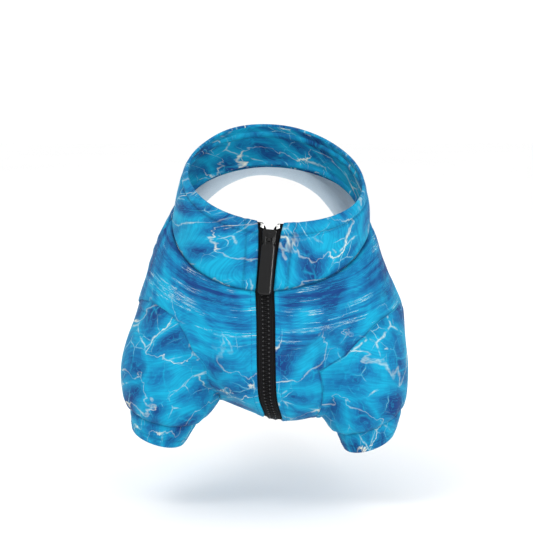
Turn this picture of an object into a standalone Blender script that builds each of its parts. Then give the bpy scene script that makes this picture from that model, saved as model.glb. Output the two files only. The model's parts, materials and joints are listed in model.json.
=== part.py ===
"""Zip-up jacket for a small dog, as worn: standing collar, body panels, cuffed sleeves and a front zip.

Metres, +Z up. The wearer faces -Y, so the wearer's left side is +X. The origin is the point inside the
back panel that rests on the withers, just behind the collar seam.
"""

import math

import bmesh
import bpy
import numpy as np
from mathutils import Matrix, Vector

# Overall sizes of the body, measured from the withers
CHEST_WIDTH = 0.176
CHEST_HEIGHT = 0.190
CHEST_REACH = 0.132
BACK_LENGTH = 0.262
NECK_WIDTH = 0.150

# Collar
COLLAR_HEIGHT = 0.050
COLLAR_WIDTH = 0.134
COLLAR_SWAY = 0.004
COLLAR_ROLL = 4.0

# Sleeves and cuffs. The pitch, in degrees, is how far their front edges stand lower than their back ones.
SLEEVE_LENGTH = 0.094
SLEEVE_WIDTH = 0.074
SLEEVE_PITCH = 14.0
CUFF_HEIGHT = 0.017
CUFF_WIDTH = 0.052

# Cloth
WALL = 0.0020
COLLAR_WALL = 0.0024
GAP = 0.0003

# Zip
ZIP_WINDOW = 0.0160
ZIP_FLARE = 0.0060
TAPE_WIDTH = 0.0110
TAPE_WALL = 0.0009
TAPE_SPREAD = 0.0060
CHAIN_WIDTH = 0.0060
CHAIN_SINK = 0.0006
CHAIN_CLEARANCE = 0.0005
CHAIN_LEAD = 0.0012
TOOTH_PITCH = 0.0044
TOOTH_NICK = 0.0004

# Slider and pull
SLIDER_DROP = 0.0045
SLIDER_LENGTH = 0.0120
SLIDER_WIDTH = 0.0110
SLIDER_PLATE = 0.0012
WEDGE_LENGTH = 0.0038
CROWN_LENGTH = 0.0070
CROWN_WIDTH = 0.0020
CROWN_BAR = 0.0009
PIN_RADIUS = 0.0008
PULL_LENGTH = 0.0430
PULL_WIDTH = 0.0105
PULL_THICKNESS = 0.0018
PULL_CORNER = 0.0030
TAB_THICKNESS = 0.0020
ARM_GAP = 0.0010
ARM_WIDTH = 0.0016
ARM_LAP = 0.0020
STOP_LENGTH = 0.0036
STOP_WIDTH = 0.0032

# Number of steps round and along the cloth. The rings are worked out finer than the panels cut from them.
RING_STEPS = 40
RING_POINTS = 320
CORE_STRIDE = 2
SLEEVE_STEPS = 24
ROWS_PER_STATION = 3
SLEEVE_ROWS = 2

BLUE_CLOTH = ("printed polyester knit", (0.012, 0.255, 0.552), 0.62, 0.0)
BLACK_TAPE = ("black woven tape", (0.010, 0.010, 0.011), 0.75, 0.0)
BLACK_PLASTIC = ("black moulded acetal", (0.008, 0.008, 0.009), 0.35, 0.0)
GLOSS_BLACK = ("gloss black pull", (0.006, 0.006, 0.006), 0.18, 0.0)
BRIGHT_METAL = ("bright aluminium", (0.82, 0.82, 0.80), 0.28, 1.0)

# Body sections from the collar seam to the rear hem. y is a share of CHEST_REACH ahead of the withers
# (negative) or of BACK_LENGTH behind it, z a share of CHEST_HEIGHT below the withers, width a share of
# CHEST_WIDTH, widest the share of the way from belly to back where the section is widest, lean the share
# of NECK_WIDTH by which the section stands to the left, and sway the share of ZIP_WINDOW by which the zip
# wanders from its middle. The first section is the collar seam, as wide as NECK_WIDTH.
BODY_COLUMNS = ("belly_y", "belly_z", "back_y", "back_z", "width", "widest", "lean", "sway")
BODY_SECTIONS = (
    (-0.900, -0.460, -0.030, 0.008, 0.852, 0.50, 0.025, -0.25),
    (-0.965, -0.570, 0.015, 0.013, 0.930, 0.45, 0.010, -0.06),
    (-0.990, -0.730, 0.070, 0.014, 0.980, 0.42, 0.000, 0.05),
    (-0.940, -0.880, 0.140, 0.012, 1.000, 0.43, 0.000, 0.12),
    (-0.780, -0.975, 0.220, 0.008, 1.000, 0.47, 0.000, 0.38),
    (-0.480, -1.000, 0.330, 0.000, 0.980, 0.50, 0.000, 0.20),
    (-0.080, -0.990, 0.500, -0.010, 0.930, 0.50, 0.000, 0.00),
    (0.190, -0.950, 0.730, -0.050, 0.890, 0.50, 0.000, 0.00),
    (0.420, -0.880, 0.980, -0.120, 0.840, 0.50, 0.000, 0.00),
)

# Swellings and hollows of the cloth: centre as x in half CHEST_WIDTH, y in CHEST_REACH, z in CHEST_HEIGHT,
# its radius and its height as shares of SLEEVE_WIDTH, outward positive.
FOLD_COLUMNS = ("x", "y", "z", "radius", "height")
BODY_FOLDS = (
    (-1.05, -0.50, -0.57, 0.56, 0.100),
    (1.12, -0.50, -0.59, 0.56, 0.240),
    (0.52, -0.72, -0.99, 0.48, 0.085),
    (-0.42, -0.75, -0.97, 0.40, -0.130),
)

# Sleeve sections from inside the armhole to the cuff seam. x is a share of half CHEST_WIDTH, y of
# CHEST_REACH, drop a share of SLEEVE_LENGTH below the armhole, width and depth shares of SLEEVE_WIDTH (in
# the last row, the cuff seam, of CUFF_WIDTH), and tilt the degrees by which the outer side is higher.
SLEEVE_COLUMNS = ("x", "y", "drop", "width", "depth", "tilt")
SLEEVE_LEFT = (
    (0.560, -0.500, -0.330, 0.860, 0.960, 50.0),
    (0.765, -0.540, 0.000, 1.080, 1.080, 36.0),
    (0.840, -0.570, 0.340, 1.100, 1.080, 27.0),
    (0.885, -0.580, 0.590, 0.900, 0.940, 22.0),
    (0.905, -0.580, 0.680, 1.020, 1.040, 18.5),
)
SLEEVE_RIGHT = (
    (0.540, -0.500, -0.330, 0.860, 0.960, 50.0),
    (0.730, -0.540, 0.000, 1.000, 1.080, 36.0),
    (0.830, -0.570, 0.340, 1.080, 1.080, 24.0),
    (0.868, -0.580, 0.550, 0.930, 0.940, 14.0),
    (0.880, -0.580, 0.640, 1.020, 1.040, 11.0),
)
# The height of the armhole's centre, as a share of CHEST_HEIGHT
ARMHOLE_HEIGHT = -0.660

# Cuff sections below the cuff seam. out is a share of CUFF_WIDTH, drop of CUFF_HEIGHT, width and depth of
# CUFF_WIDTH, and tilt in degrees. The first row is the cuff seam.
CUFF_COLUMNS = ("out", "drop", "width", "depth", "tilt")
CUFF_LEFT = (
    (0.000, 0.00, 1.020, 1.04, 18.5),
    (0.008, 0.50, 0.930, 0.96, 17.5),
    (0.006, 1.00, 0.775, 0.82, 17.0),
)
CUFF_RIGHT = (
    (0.000, 0.00, 1.020, 1.04, 11.0),
    (0.040, 0.50, 0.930, 0.96, 13.0),
    (0.090, 1.00, 0.800, 0.82, 16.0),
)

# Collar rows: share of the height, outward push as a share of COLLAR_HEIGHT
COLLAR_COLUMNS = ("rise", "push")
COLLAR_ROWS = (
    (0.00, 0.000),
    (0.22, 0.022),
    (0.50, 0.034),
    (0.80, 0.034),
    (1.00, 0.024),
)
# The rim against the seam ring: how far it moves at the front and at the back, in COLLAR_HEIGHT, and how
# far it dips between them
RIM_FRONT = (0.12, 1.00)
RIM_BACK = (-0.38, 0.62)
RIM_DIP = 0.07
# The collar's rounded rim: its crest and the shoulders beside it, in COLLAR_WALL above the last row
RIM_CREST = 0.45
RIM_SHOULDER = 0.11
# Height of the panel seam on the side, as a share of the way round from the zip to the spine
SIDE_SEAM = 0.53
# How suddenly the collar's edges and the tapes part towards the rim, as powers of the share of its height
FLARE_POWER = 3
SPREAD_POWER = 8


def table(columns, rows):
    """The rows of a table as dictionaries."""
    return [dict(zip(columns, row)) for row in rows]


def smooth_rows(rows, steps):
    """Catmull-Rom values between the rows of a table, steps to each interval, as arrays by column."""
    keys = list(rows[0])
    values = np.array([[row[key] for key in keys] for row in rows])
    padded = np.vstack([2 * values[0] - values[1], values, 2 * values[-1] - values[-2]])
    found = []
    for index in range(len(values) - 1):
        before, start, end, after = padded[index : index + 4]
        for step in range(steps):
            t = step / steps
            found.append(
                0.5
                * (
                    2 * start
                    + (end - before) * t
                    + (2 * before - 5 * start + 4 * end - after) * t**2
                    + (3 * start - before - 3 * end + after) * t**3
                )
            )
    found.append(values[-1])
    return [dict(zip(keys, row)) for row in found]


def lengthwise(share):
    """A y share in metres: of the chest ahead of the withers, of the back behind them."""
    return share * (CHEST_REACH if share < 0 else BACK_LENGTH)


def body_ring(section, angles):
    """Points of one body section. Angle 0 is the zip line, 90 degrees the wearer's left, 180 the spine."""
    belly = np.array([0.0, lengthwise(section["belly_y"]), section["belly_z"] * CHEST_HEIGHT])
    back = np.array([0.0, lengthwise(section["back_y"]), section["back_z"] * CHEST_HEIGHT])
    cosine = np.cos(angles)
    widest = section["widest"]
    along = np.where(cosine > 0, widest * (1 - cosine), widest - (1 - widest) * cosine)
    points = belly + (back - belly) * along[:, None]
    half = section["width"] * CHEST_WIDTH / 2
    points[:, 0] += section["lean"] * NECK_WIDTH + half * np.sin(angles)
    points[:, 0] += section["sway"] * ZIP_WINDOW * np.clip(cosine, 0, 1) ** 4
    return points


def grid_normals(grid):
    """Unit normals of closed rings of points, rows by columns, pointing away from the rings' middles."""
    along = np.gradient(grid, axis=0)
    across = (np.roll(grid, -1, axis=1) - np.roll(grid, 1, axis=1)) / 2
    normals = np.cross(across, along)
    normals /= np.linalg.norm(normals, axis=2)[:, :, None]
    outward = grid - grid.mean(axis=1)[:, None]
    return normals if (normals * outward).sum() > 0 else -normals


def with_folds(grid, folds, normals):
    """The grid pushed out or in by the swellings and hollows of a table."""
    moved = grid.copy()
    for fold in table(FOLD_COLUMNS, folds):
        centre = np.array(
            [fold["x"] * CHEST_WIDTH / 2, fold["y"] * CHEST_REACH, fold["z"] * CHEST_HEIGHT]
        )
        radius = fold["radius"] * SLEEVE_WIDTH
        away = np.linalg.norm(grid - centre, axis=2) / radius
        moved += normals * (fold["height"] * SLEEVE_WIDTH * np.exp(-(away**2)))[:, :, None]
    return moved


def body_surface():
    """The outside of the body as full rings, rows from the collar seam to the rear hem."""
    sections = table(BODY_COLUMNS, BODY_SECTIONS)
    sections[0]["width"] = NECK_WIDTH / CHEST_WIDTH
    angles = np.linspace(0, 2 * math.pi, RING_POINTS, endpoint=False)
    grid = np.array([body_ring(s, angles) for s in smooth_rows(sections, ROWS_PER_STATION)])
    return with_folds(grid, BODY_FOLDS, grid_normals(grid))


def collar_rows():
    """The collar's rows with one between each two of the table's."""
    return smooth_rows(table(COLLAR_COLUMNS, COLLAR_ROWS), 2)


def collar_surface(seam):
    """The outside of the collar as full rings, from the seam ring up to the rim."""
    count = len(seam)
    angles = np.linspace(0, 2 * math.pi, count, endpoint=False)
    back = (1 - np.cos(angles)) / 2
    rise = np.outer(1 - back, RIM_FRONT) + np.outer(back, RIM_BACK)
    rise[:, 1] -= RIM_DIP * np.sin(angles) ** 2
    centre = seam.mean(axis=0)
    outward = seam - centre
    narrowing = (COLLAR_WIDTH - NECK_WIDTH) / NECK_WIDTH
    rows = []
    for row in collar_rows():
        ring = seam.copy()
        ring[:, 1:] += rise * COLLAR_HEIGHT * row["rise"]
        ring[:, 0] += outward[:, 0] * narrowing * row["rise"] + COLLAR_SWAY * row["rise"]
        ring[:, 2] -= outward[:, 0] * math.tan(math.radians(COLLAR_ROLL)) * row["rise"]
        sideways = outward * np.array([1, 1, 0])
        sideways /= np.linalg.norm(sideways, axis=1)[:, None]
        ring += sideways * row["push"] * COLLAR_HEIGHT
        rows.append(ring)
    return np.array(rows)


def pick_round(ring, distances):
    """Points of a closed ring at these distances from its first point, negative the other way round."""
    closed = np.vstack([ring, ring[:1]])
    steps = np.linalg.norm(np.diff(closed, axis=0), axis=1)
    length = np.concatenate([[0], np.cumsum(steps)])
    wanted = np.mod(distances, length[-1])
    return np.stack([np.interp(wanted, length, closed[:, axis]) for axis in range(3)], axis=1)


def ring_length(ring):
    """The girth of a closed ring."""
    return np.linalg.norm(ring - np.roll(ring, 1, axis=0), axis=1).sum()


def band(grid, start, end, steps):
    """A strip of the full rings between two distances from the zip line, which may vary row by row."""
    start, end = np.broadcast_to(start, len(grid)), np.broadcast_to(end, len(grid))
    return np.array(
        [pick_round(ring, np.linspace(a, b, steps)) for ring, a, b in zip(grid, start, end)]
    )


def shell(name, outer, inner, cyclic):
    """A closed wall between two grids of points, rows by columns."""
    rows, columns = outer.shape[:2]
    vertices = np.concatenate([outer.reshape(-1, 3), inner.reshape(-1, 3)])
    lift = rows * columns
    faces = []
    last = columns if cyclic else columns - 1
    for row in range(rows - 1):
        for column in range(last):
            a, b = row * columns + column, row * columns + (column + 1) % columns
            faces.append((a, b, b + columns, a + columns))
            faces.append((a + columns + lift, b + columns + lift, b + lift, a + lift))
    for column in range(last):
        a, b = column, (column + 1) % columns
        faces.append((b, a, a + lift, b + lift))
        a, b = a + lift - columns, b + lift - columns
        faces.append((a, b, b + lift, a + lift))
    if not cyclic:
        for row in range(rows - 1):
            a = row * columns
            faces.append((a, a + columns, a + columns + lift, a + lift))
            a += columns - 1
            faces.append((a + columns, a, a + lift, a + columns + lift))
    return make_object(name, vertices, faces)


def plug(name, grid):
    """A closed solid that fills a stack of rings."""
    rows, columns = grid.shape[:2]
    faces = [tuple(reversed(range(columns))), tuple(range((rows - 1) * columns, rows * columns))]
    for row in range(rows - 1):
        for column in range(columns):
            a, b = row * columns + column, row * columns + (column + 1) % columns
            faces.append((a, b, b + columns, a + columns))
    return make_object(name, grid.reshape(-1, 3), faces)


def make_object(name, vertices, faces):
    """A mesh object with its faces turned outwards."""
    mesh = bpy.data.meshes.new(name)
    mesh.from_pydata([tuple(v) for v in vertices], [], faces)
    work = bmesh.new()
    work.from_mesh(mesh)
    bmesh.ops.recalc_face_normals(work, faces=work.faces)
    if work.calc_volume(signed=True) < 0:
        bmesh.ops.reverse_faces(work, faces=work.faces)
    work.to_mesh(mesh)
    work.free()
    obj = bpy.data.objects.new(name, mesh)
    bpy.context.scene.collection.objects.link(obj)
    return obj


def dress(obj, finish):
    """Gives an object its material and smooth shading."""
    name, colour, roughness, metallic = finish
    material = bpy.data.materials.get(name)
    if material is None:
        material = bpy.data.materials.new(name)
        material.use_nodes = True
        surface = material.node_tree.nodes["Principled BSDF"]
        surface.inputs["Base Color"].default_value = (*colour, 1)
        surface.inputs["Roughness"].default_value = roughness
        surface.inputs["Metallic"].default_value = metallic
    obj.data.materials.append(material)
    obj.data.shade_smooth()
    obj.data.set_sharp_from_angle(angle=math.radians(40))
    return obj


def helper(obj):
    """Marks a cutter, which isn't part of the jacket."""
    obj.hide_render = True
    obj.display_type = "WIRE"
    return obj


def cut(obj, cutter):
    """Subtracts a cutter from an object."""
    modifier = obj.modifiers.new("cut " + cutter.name, "BOOLEAN")
    modifier.operation = "DIFFERENCE"
    modifier.solver = "EXACT"
    modifier.object = cutter


def join(obj, other):
    """Adds a helper's volume to an object."""
    modifier = obj.modifiers.new("join " + other.name, "BOOLEAN")
    modifier.operation = "UNION"
    modifier.solver = "EXACT"
    modifier.object = other


def window_half(rise):
    """Half the width of cloth-free zip at a share of the collar's height, 0 below the collar."""
    return ZIP_WINDOW / 2 + ZIP_FLARE / 2 * np.clip(rise, 0, 1) ** FLARE_POWER


def seam_normals(body, collar):
    """The mitre between body and collar: normals that both walls share at their seam."""
    normals = grid_normals(body)[0] + grid_normals(collar)[0]
    return normals / np.linalg.norm(normals, axis=1)[:, None]


def body_panels(grid, mitre):
    """Left and right chest panels and the back panel, split at the zip and along the side seams."""
    girths = np.array([ring_length(ring) for ring in grid])
    seam = girths / 2 * SIDE_SEAM
    normals = grid_normals(grid)
    normals[0] = mitre
    inner = grid - normals * WALL
    columns = RING_STEPS // 4 + 1
    panels = []
    for name, side in (("chest_panel_left", 1), ("chest_panel_right", -1)):
        start = side * np.full(len(grid), ZIP_WINDOW / 2)
        end = side * (seam - GAP / 2)
        panels.append(wall_strip(name, grid, inner, start, end, columns))
    start, end = seam + GAP / 2, girths - seam - GAP / 2
    panels.append(wall_strip("back_panel", grid, inner, start, end, 2 * columns))
    return [dress(panel, BLUE_CLOTH) for panel in panels]


def wall_strip(name, outer_rings, inner_rings, start, end, steps):
    """A strip of wall, its inner face picked at the same share of each ring as its outer one."""
    shares = [ring_length(i) / ring_length(o) for o, i in zip(outer_rings, inner_rings)]
    outer = band(outer_rings, start, end, steps)
    inner = band(inner_rings, start * np.array(shares), end * np.array(shares), steps)
    return shell(name, outer, inner, False)


def limb_rings(sections, side, lowered):
    """Rings of one sleeve or cuff from sections in metres, lowered by a gap."""
    angles = np.linspace(0, 2 * math.pi, SLEEVE_STEPS, endpoint=False)
    pitch = math.radians(SLEEVE_PITCH)
    depthwise = np.array([0, math.cos(pitch), math.sin(pitch)])
    rings = []
    for section in sections:
        tilt = math.radians(section["tilt"])
        sideways = np.array([side * math.cos(tilt), 0, math.sin(tilt)])
        centre = np.array([side * section["x"], section["y"], section["z"] - lowered])
        rings.append(
            centre
            + np.outer(np.cos(angles), sideways) * section["width"] / 2
            + np.outer(np.sin(angles), depthwise) * section["depth"] / 2
        )
    return np.array(rings)


def sleeve_sections(rows):
    """The sleeve table in metres."""
    girths = [SLEEVE_WIDTH] * (len(rows) - 1) + [CUFF_WIDTH]
    return [
        {
            "x": row["x"] * CHEST_WIDTH / 2,
            "y": row["y"] * CHEST_REACH,
            "z": ARMHOLE_HEIGHT * CHEST_HEIGHT - row["drop"] * SLEEVE_LENGTH,
            "width": row["width"] * girth,
            "depth": row["depth"] * girth,
            "tilt": row["tilt"],
        }
        for row, girth in zip(table(SLEEVE_COLUMNS, rows), girths)
    ]


def cuff_sections(rows, seam):
    """The cuff table in metres, starting from the sleeve's last section."""
    return [
        {
            "x": seam["x"] + row["out"] * CUFF_WIDTH,
            "y": seam["y"],
            "z": seam["z"] - row["drop"] * CUFF_HEIGHT,
            "width": row["width"] * CUFF_WIDTH,
            "depth": row["depth"] * CUFF_WIDTH,
            "tilt": row["tilt"],
        }
        for row in table(CUFF_COLUMNS, rows)
    ]


def tube_wall(name, grid):
    """A sleeve or cuff wall, its inner face set in by the cloth's thickness."""
    inner = grid - grid_normals(grid) * WALL
    return shell(name, grid, inner, True)


def arm(name, side, sleeve_rows, cuff_rows, core, panels):
    """One sleeve with its cuff, and the armhole that it needs in the panels."""
    sections = sleeve_sections(sleeve_rows)
    cuff = smooth_rows(cuff_sections(cuff_rows, sections[-1]), SLEEVE_ROWS)
    sleeve = smooth_rows(sections, SLEEVE_ROWS)
    sleeve_rings = limb_rings(sleeve, side, 0)
    cuff_rings = limb_rings(cuff, side, GAP * 1.5)
    sleeve_obj = tube_wall("sleeve_" + name, sleeve_rings)
    cut(sleeve_obj, core)
    cuff_obj = tube_wall("cuff_" + name, cuff_rings)
    passage = sleeve_rings - grid_normals(sleeve_rings) * WALL
    hole = helper(plug("armhole_" + name, passage))
    for panel in panels:
        cut(panel, hole)
    return [dress(sleeve_obj, BLUE_CLOTH), dress(cuff_obj, BLUE_CLOTH)]


def collar_band(rings, mitre):
    """The collar from one side of the zip round to the other, with a rounded rim."""
    normals = grid_normals(rings)
    normals[0] = mitre
    seam = np.roll(rings[0], -1, axis=0) - np.roll(rings[0], 1, axis=0)
    climb = np.cross(mitre, seam)
    rings = rings.copy()
    rings[0] += climb / np.linalg.norm(climb, axis=1)[:, None] * GAP
    inner = rings - normals * COLLAR_WALL
    rise = np.array([row["rise"] for row in collar_rows()])
    girths = np.array([ring_length(ring) for ring in rings])
    steps = RING_STEPS
    edge = window_half(rise)
    shares = np.array([ring_length(i) / ring_length(o) for o, i in zip(rings, inner)])
    outer = band(rings, edge, girths - edge, steps)
    inner = band(inner, edge * shares, (girths - edge) * shares, steps)
    up = outer[-1] - outer[-2]
    up *= COLLAR_WALL / np.linalg.norm(up, axis=1)[:, None]
    crest = (outer[-1] + inner[-1]) / 2 + up * RIM_CREST
    outer = np.concatenate([outer, (outer[-1:] + crest) / 2 + up * RIM_SHOULDER])
    inner = np.concatenate([inner, (inner[-1:] + crest) / 2 + up * RIM_SHOULDER])
    return dress(shell("collar", outer, inner, False), BLUE_CLOTH)


class ZipLine:
    """The line that the zip follows, from the collar's rim down the chest and under the belly."""

    def __init__(self, collar, body):
        rings = np.concatenate([collar[::-1], body[1:]])
        normals = np.concatenate([grid_normals(collar)[::-1], grid_normals(body)[1:]])
        self.rings = rings
        self.normals = normals
        line = rings[:, 0]
        steps = np.linalg.norm(np.diff(line, axis=0), axis=1)
        self.distance = np.concatenate([[0], np.cumsum(steps)])
        self.line = line
        sideways = rings[:, 1] - rings[:, -1]
        self.across = sideways / np.linalg.norm(sideways, axis=1)[:, None]
        self.length = self.distance[-1]
        self.seam = self.distance[len(collar) - 1]

    def at(self, distance):
        """Place, downward tangent and outward normal at a distance from the rim."""
        place = self.between(self.line, distance)
        normal = self.between(self.normals[:, 0], distance)
        normal /= np.linalg.norm(normal)
        tangent = self.between(np.gradient(self.line, self.distance, axis=0), distance)
        tangent -= normal * (tangent @ normal)
        return place, tangent / np.linalg.norm(tangent), normal

    def between(self, values, distance):
        """Values of the rows, read between two rows."""
        return np.array([np.interp(distance, self.distance, values[:, axis]) for axis in range(3)])


def tape_depth():
    """How far the tape's outer face lies below the cloth's."""
    return max(WALL, COLLAR_WALL) + GAP


def tape_edge(rise):
    """The tape's inner edge from the zip's middle: they part above the slider, towards the rim."""
    return GAP / 2 + TAPE_SPREAD * np.clip(rise, 0, 1) ** SPREAD_POWER


def chain_depths():
    """Levels of the chain's outer and inner face below the cloth's."""
    return CHAIN_SINK, tape_depth() - CHAIN_CLEARANCE


def zip_tapes(zipline):
    """The two tapes under the cloth's edges."""
    rise = 1 - zipline.distance / zipline.seam
    inner_edge = tape_edge(rise)
    top = zipline.rings - zipline.normals * tape_depth()
    bottom = zipline.rings - zipline.normals * (tape_depth() + TAPE_WALL)
    tapes = []
    for name, side in (("zip_tape_left", 1), ("zip_tape_right", -1)):
        start, end = side * inner_edge, side * (inner_edge + TAPE_WIDTH)
        outer, inner = band(top, start, end, 3), band(bottom, start, end, 3)
        tapes.append(dress(shell(name, outer, inner, False), BLACK_TAPE))
    return tapes


def zip_chain(zipline, start, end):
    """The closed teeth as one ribbed strip on the tapes, a rib for each tooth."""
    outer_face, inner_face = chain_depths()
    count = 2 * max(2, round((end - start) / TOOTH_PITCH))
    rings = []
    for index, distance in enumerate(np.linspace(start, end, count)):
        place, _, normal = zipline.at(distance)
        across = zipline.between(zipline.across, distance)
        half = CHAIN_WIDTH / 2 - (0 if index % 2 else TOOTH_NICK)
        top = -outer_face - (0 if index % 2 else TOOTH_NICK)
        bottom = -inner_face
        corners = ((-half, bottom), (half, bottom), (half, top), (-half, top))
        rings.append([place + across * x + normal * z for x, z in corners])
    return dress(plug("zip_chain", np.array(rings)), BLACK_PLASTIC)


def local_box(name, x, y, z):
    """A box from its low and high limits across, along and away from the zip."""
    corners = np.array([[a, b, c] for c in z for b in y for a in x])
    faces = ((0, 1, 3, 2), (4, 6, 7, 5), (0, 4, 5, 1), (2, 3, 7, 6), (0, 2, 6, 4), (1, 5, 7, 3))
    return make_object(name, corners, faces)


def rod(name, radius, length, sides=12):
    """A cylinder across the zip."""
    angles = np.linspace(0, 2 * math.pi, sides, endpoint=False)
    circle = np.stack([0 * angles, np.cos(angles) * radius, np.sin(angles) * radius], axis=1)
    ends = np.array([circle + [offset, 0, 0] for offset in (-length / 2, length / 2)])
    return plug(name, ends)


def rounded_plate(name, width, y, half_thickness, corner, steps=4):
    """A flat plate with rounded corners, across and along the zip."""
    centres = (
        (width / 2 - corner, y[1] - corner, 0),
        (corner - width / 2, y[1] - corner, 90),
        (corner - width / 2, y[0] + corner, 180),
        (width / 2 - corner, y[0] + corner, 270),
    )
    outline = [
        (
            x + corner * math.cos(math.radians(turn + 90 * step / steps)),
            along + corner * math.sin(math.radians(turn + 90 * step / steps)),
        )
        for x, along, turn in centres
        for step in range(steps + 1)
    ]
    levels = (-half_thickness, half_thickness)
    return plug(name, np.array([[(x, along, z) for x, along in outline] for z in levels]))


def zip_frame(zipline, distance):
    """The matrix of a piece on the zip: X across, Y up along the zip, Z away from the chest."""
    place, tangent, normal = zipline.at(distance)
    up = -tangent
    across = np.cross(up, normal)
    matrix = Matrix.Identity(4)
    for column, axis in enumerate((across, up, normal)):
        for row in range(3):
            matrix[row][column] = axis[row]
    matrix.translation = Vector(place)
    return matrix


def slider_heights():
    """Levels of the slider's parts away from the cloth's face."""
    roof = -CHAIN_SINK + GAP
    floor = -tape_depth() - TAPE_WALL - GAP
    pin = roof + SLIDER_PLATE + GAP + PULL_THICKNESS / 2
    return {"roof": roof, "top": roof + SLIDER_PLATE, "floor": floor, "pin": pin}


def zip_slider(frame):
    """The slider: two plates round the chain, joined by a wedge at the top, with the crown on it."""
    level = slider_heights()
    half_width, half_length = SLIDER_WIDTH / 2, SLIDER_LENGTH / 2
    lengthways = (-half_length, half_length)
    body = local_box(
        "zip_slider", (-half_width, half_width), lengthways, (level["roof"], level["top"])
    )
    under = (level["floor"] - SLIDER_PLATE, level["floor"])
    lower = local_box("slider_lower", (-half_width, half_width), lengthways, under)
    wedge = local_box(
        "slider_wedge",
        (-CROWN_WIDTH / 2, CROWN_WIDTH / 2),
        (half_length - WEDGE_LENGTH, half_length - SLIDER_PLATE / 4),
        (under[0] + SLIDER_PLATE / 2, level["top"] - SLIDER_PLATE / 2),
    )
    bar_low = level["pin"] + PIN_RADIUS + GAP
    crown = local_box(
        "slider_crown",
        (-CROWN_WIDTH / 2, CROWN_WIDTH / 2),
        (-CROWN_LENGTH / 2, CROWN_LENGTH / 2),
        (level["top"] - SLIDER_PLATE / 2, bar_low + CROWN_BAR),
    )
    room = helper(
        local_box(
            "crown_room",
            (-CROWN_WIDTH, CROWN_WIDTH),
            (-CROWN_LENGTH / 2 + CROWN_BAR, CROWN_LENGTH / 2 - CROWN_BAR),
            (level["top"], bar_low),
        )
    )
    cut(crown, room)
    for piece in (lower, wedge, crown):
        join(body, helper(piece))
        piece.matrix_world = frame
    room.matrix_world = frame
    body.matrix_world = frame
    return dress(body, BLACK_PLASTIC)


def pull_arm(name, x, reach, radius, steps=4):
    """An arm of the pull between two places across, round at the pin and reaching down from it."""
    turns = np.linspace(-math.pi / 2, math.pi / 2, steps + 1)
    profile = [(radius * math.cos(turn), radius * math.sin(turn)) for turn in turns]
    profile += [(-reach, radius), (-reach, -radius)]
    return plug(name, np.array([[(place, along, z) for along, z in profile] for place in x]))


def zip_pull(frame):
    """The pull: a pin under the crown, two arms and a long rounded tab."""
    level = slider_heights()
    arm_inner = CROWN_WIDTH / 2 + ARM_GAP
    arm_outer = arm_inner + ARM_WIDTH
    clear = math.hypot(CROWN_LENGTH / 2, PIN_RADIUS + GAP + CROWN_BAR) + 2 * GAP
    pull = rod("zip_pull", PIN_RADIUS, arm_inner + arm_outer)
    pieces = [rounded_plate("pull_tab", PULL_WIDTH, (-PULL_LENGTH, -clear), TAB_THICKNESS / 2, PULL_CORNER)]
    for label, x in (("left", (arm_inner, arm_outer)), ("right", (-arm_outer, -arm_inner))):
        pieces.append(pull_arm("pull_arm_" + label, x, clear + ARM_LAP, PULL_THICKNESS / 2))
    hang = frame @ Matrix.Translation((0, 0, level["pin"]))
    for piece in pieces:
        join(pull, helper(piece))
        piece.matrix_world = hang
    pull.matrix_world = hang
    return dress(pull, GLOSS_BLACK)


def zip_stops(zipline, chain_end):
    """Bright stops at the tops of the tapes and one at the chain's lower end."""
    outer_face, inner_face = chain_depths()
    height = (-inner_face, -outer_face)
    distance = STOP_LENGTH / 2 + GAP
    top = zip_frame(zipline, distance)
    inner_edge = tape_edge(1 - distance / zipline.seam)
    for name, side in (("top_stop_left", 1), ("top_stop_right", -1)):
        x = sorted((side * inner_edge, side * (inner_edge + STOP_WIDTH)))
        stop = local_box(name, x, (-STOP_LENGTH / 2, STOP_LENGTH / 2), height)
        stop.matrix_world = top
        dress(stop, BRIGHT_METAL)
    bottom = zip_frame(zipline, chain_end + GAP + STOP_LENGTH / 2)
    half = CHAIN_WIDTH / 2
    stop = local_box("bottom_stop", (-half, half), (-STOP_LENGTH / 2, STOP_LENGTH / 2), height)
    stop.matrix_world = bottom
    dress(stop, BLACK_PLASTIC)


def main():
    """Builds every piece of the jacket."""
    for obj in list(bpy.data.objects):
        bpy.data.objects.remove(obj)
    body = body_surface()
    collar = collar_surface(body[0])
    mitre = seam_normals(body, collar)
    panels = body_panels(body, mitre)
    core = helper(plug("body_core", (body + grid_normals(body) * GAP)[:, ::CORE_STRIDE]))
    arm("left", 1, SLEEVE_LEFT, CUFF_LEFT, core, panels)
    arm("right", -1, SLEEVE_RIGHT, CUFF_RIGHT, core, panels)
    collar_band(collar, mitre)
    zipline = ZipLine(collar, body)
    zip_tapes(zipline)
    slider_at = SLIDER_DROP + SLIDER_LENGTH / 2
    chain_start = slider_at - CHAIN_LEAD
    chain_end = zipline.length - 2 * STOP_LENGTH
    zip_chain(zipline, chain_start, chain_end)
    frame = zip_frame(zipline, slider_at)
    zip_slider(frame)
    zip_pull(frame)
    zip_stops(zipline, chain_end)


main()
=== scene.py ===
"""Looks of a zip-up dog jacket: printed knit panels, collar, sleeves, stitching, zip and a plain studio.

Run it as a script in Blender. Metres, +Z up, the wearer faces -Y and the wearer's left is +X.
"""

import json
import math

import bpy
import bmesh
import numpy as np
from bpy.props import FloatProperty, FloatVectorProperty, IntProperty, PointerProperty
from mathutils import Matrix, Vector
from mathutils.kdtree import KDTree


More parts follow.
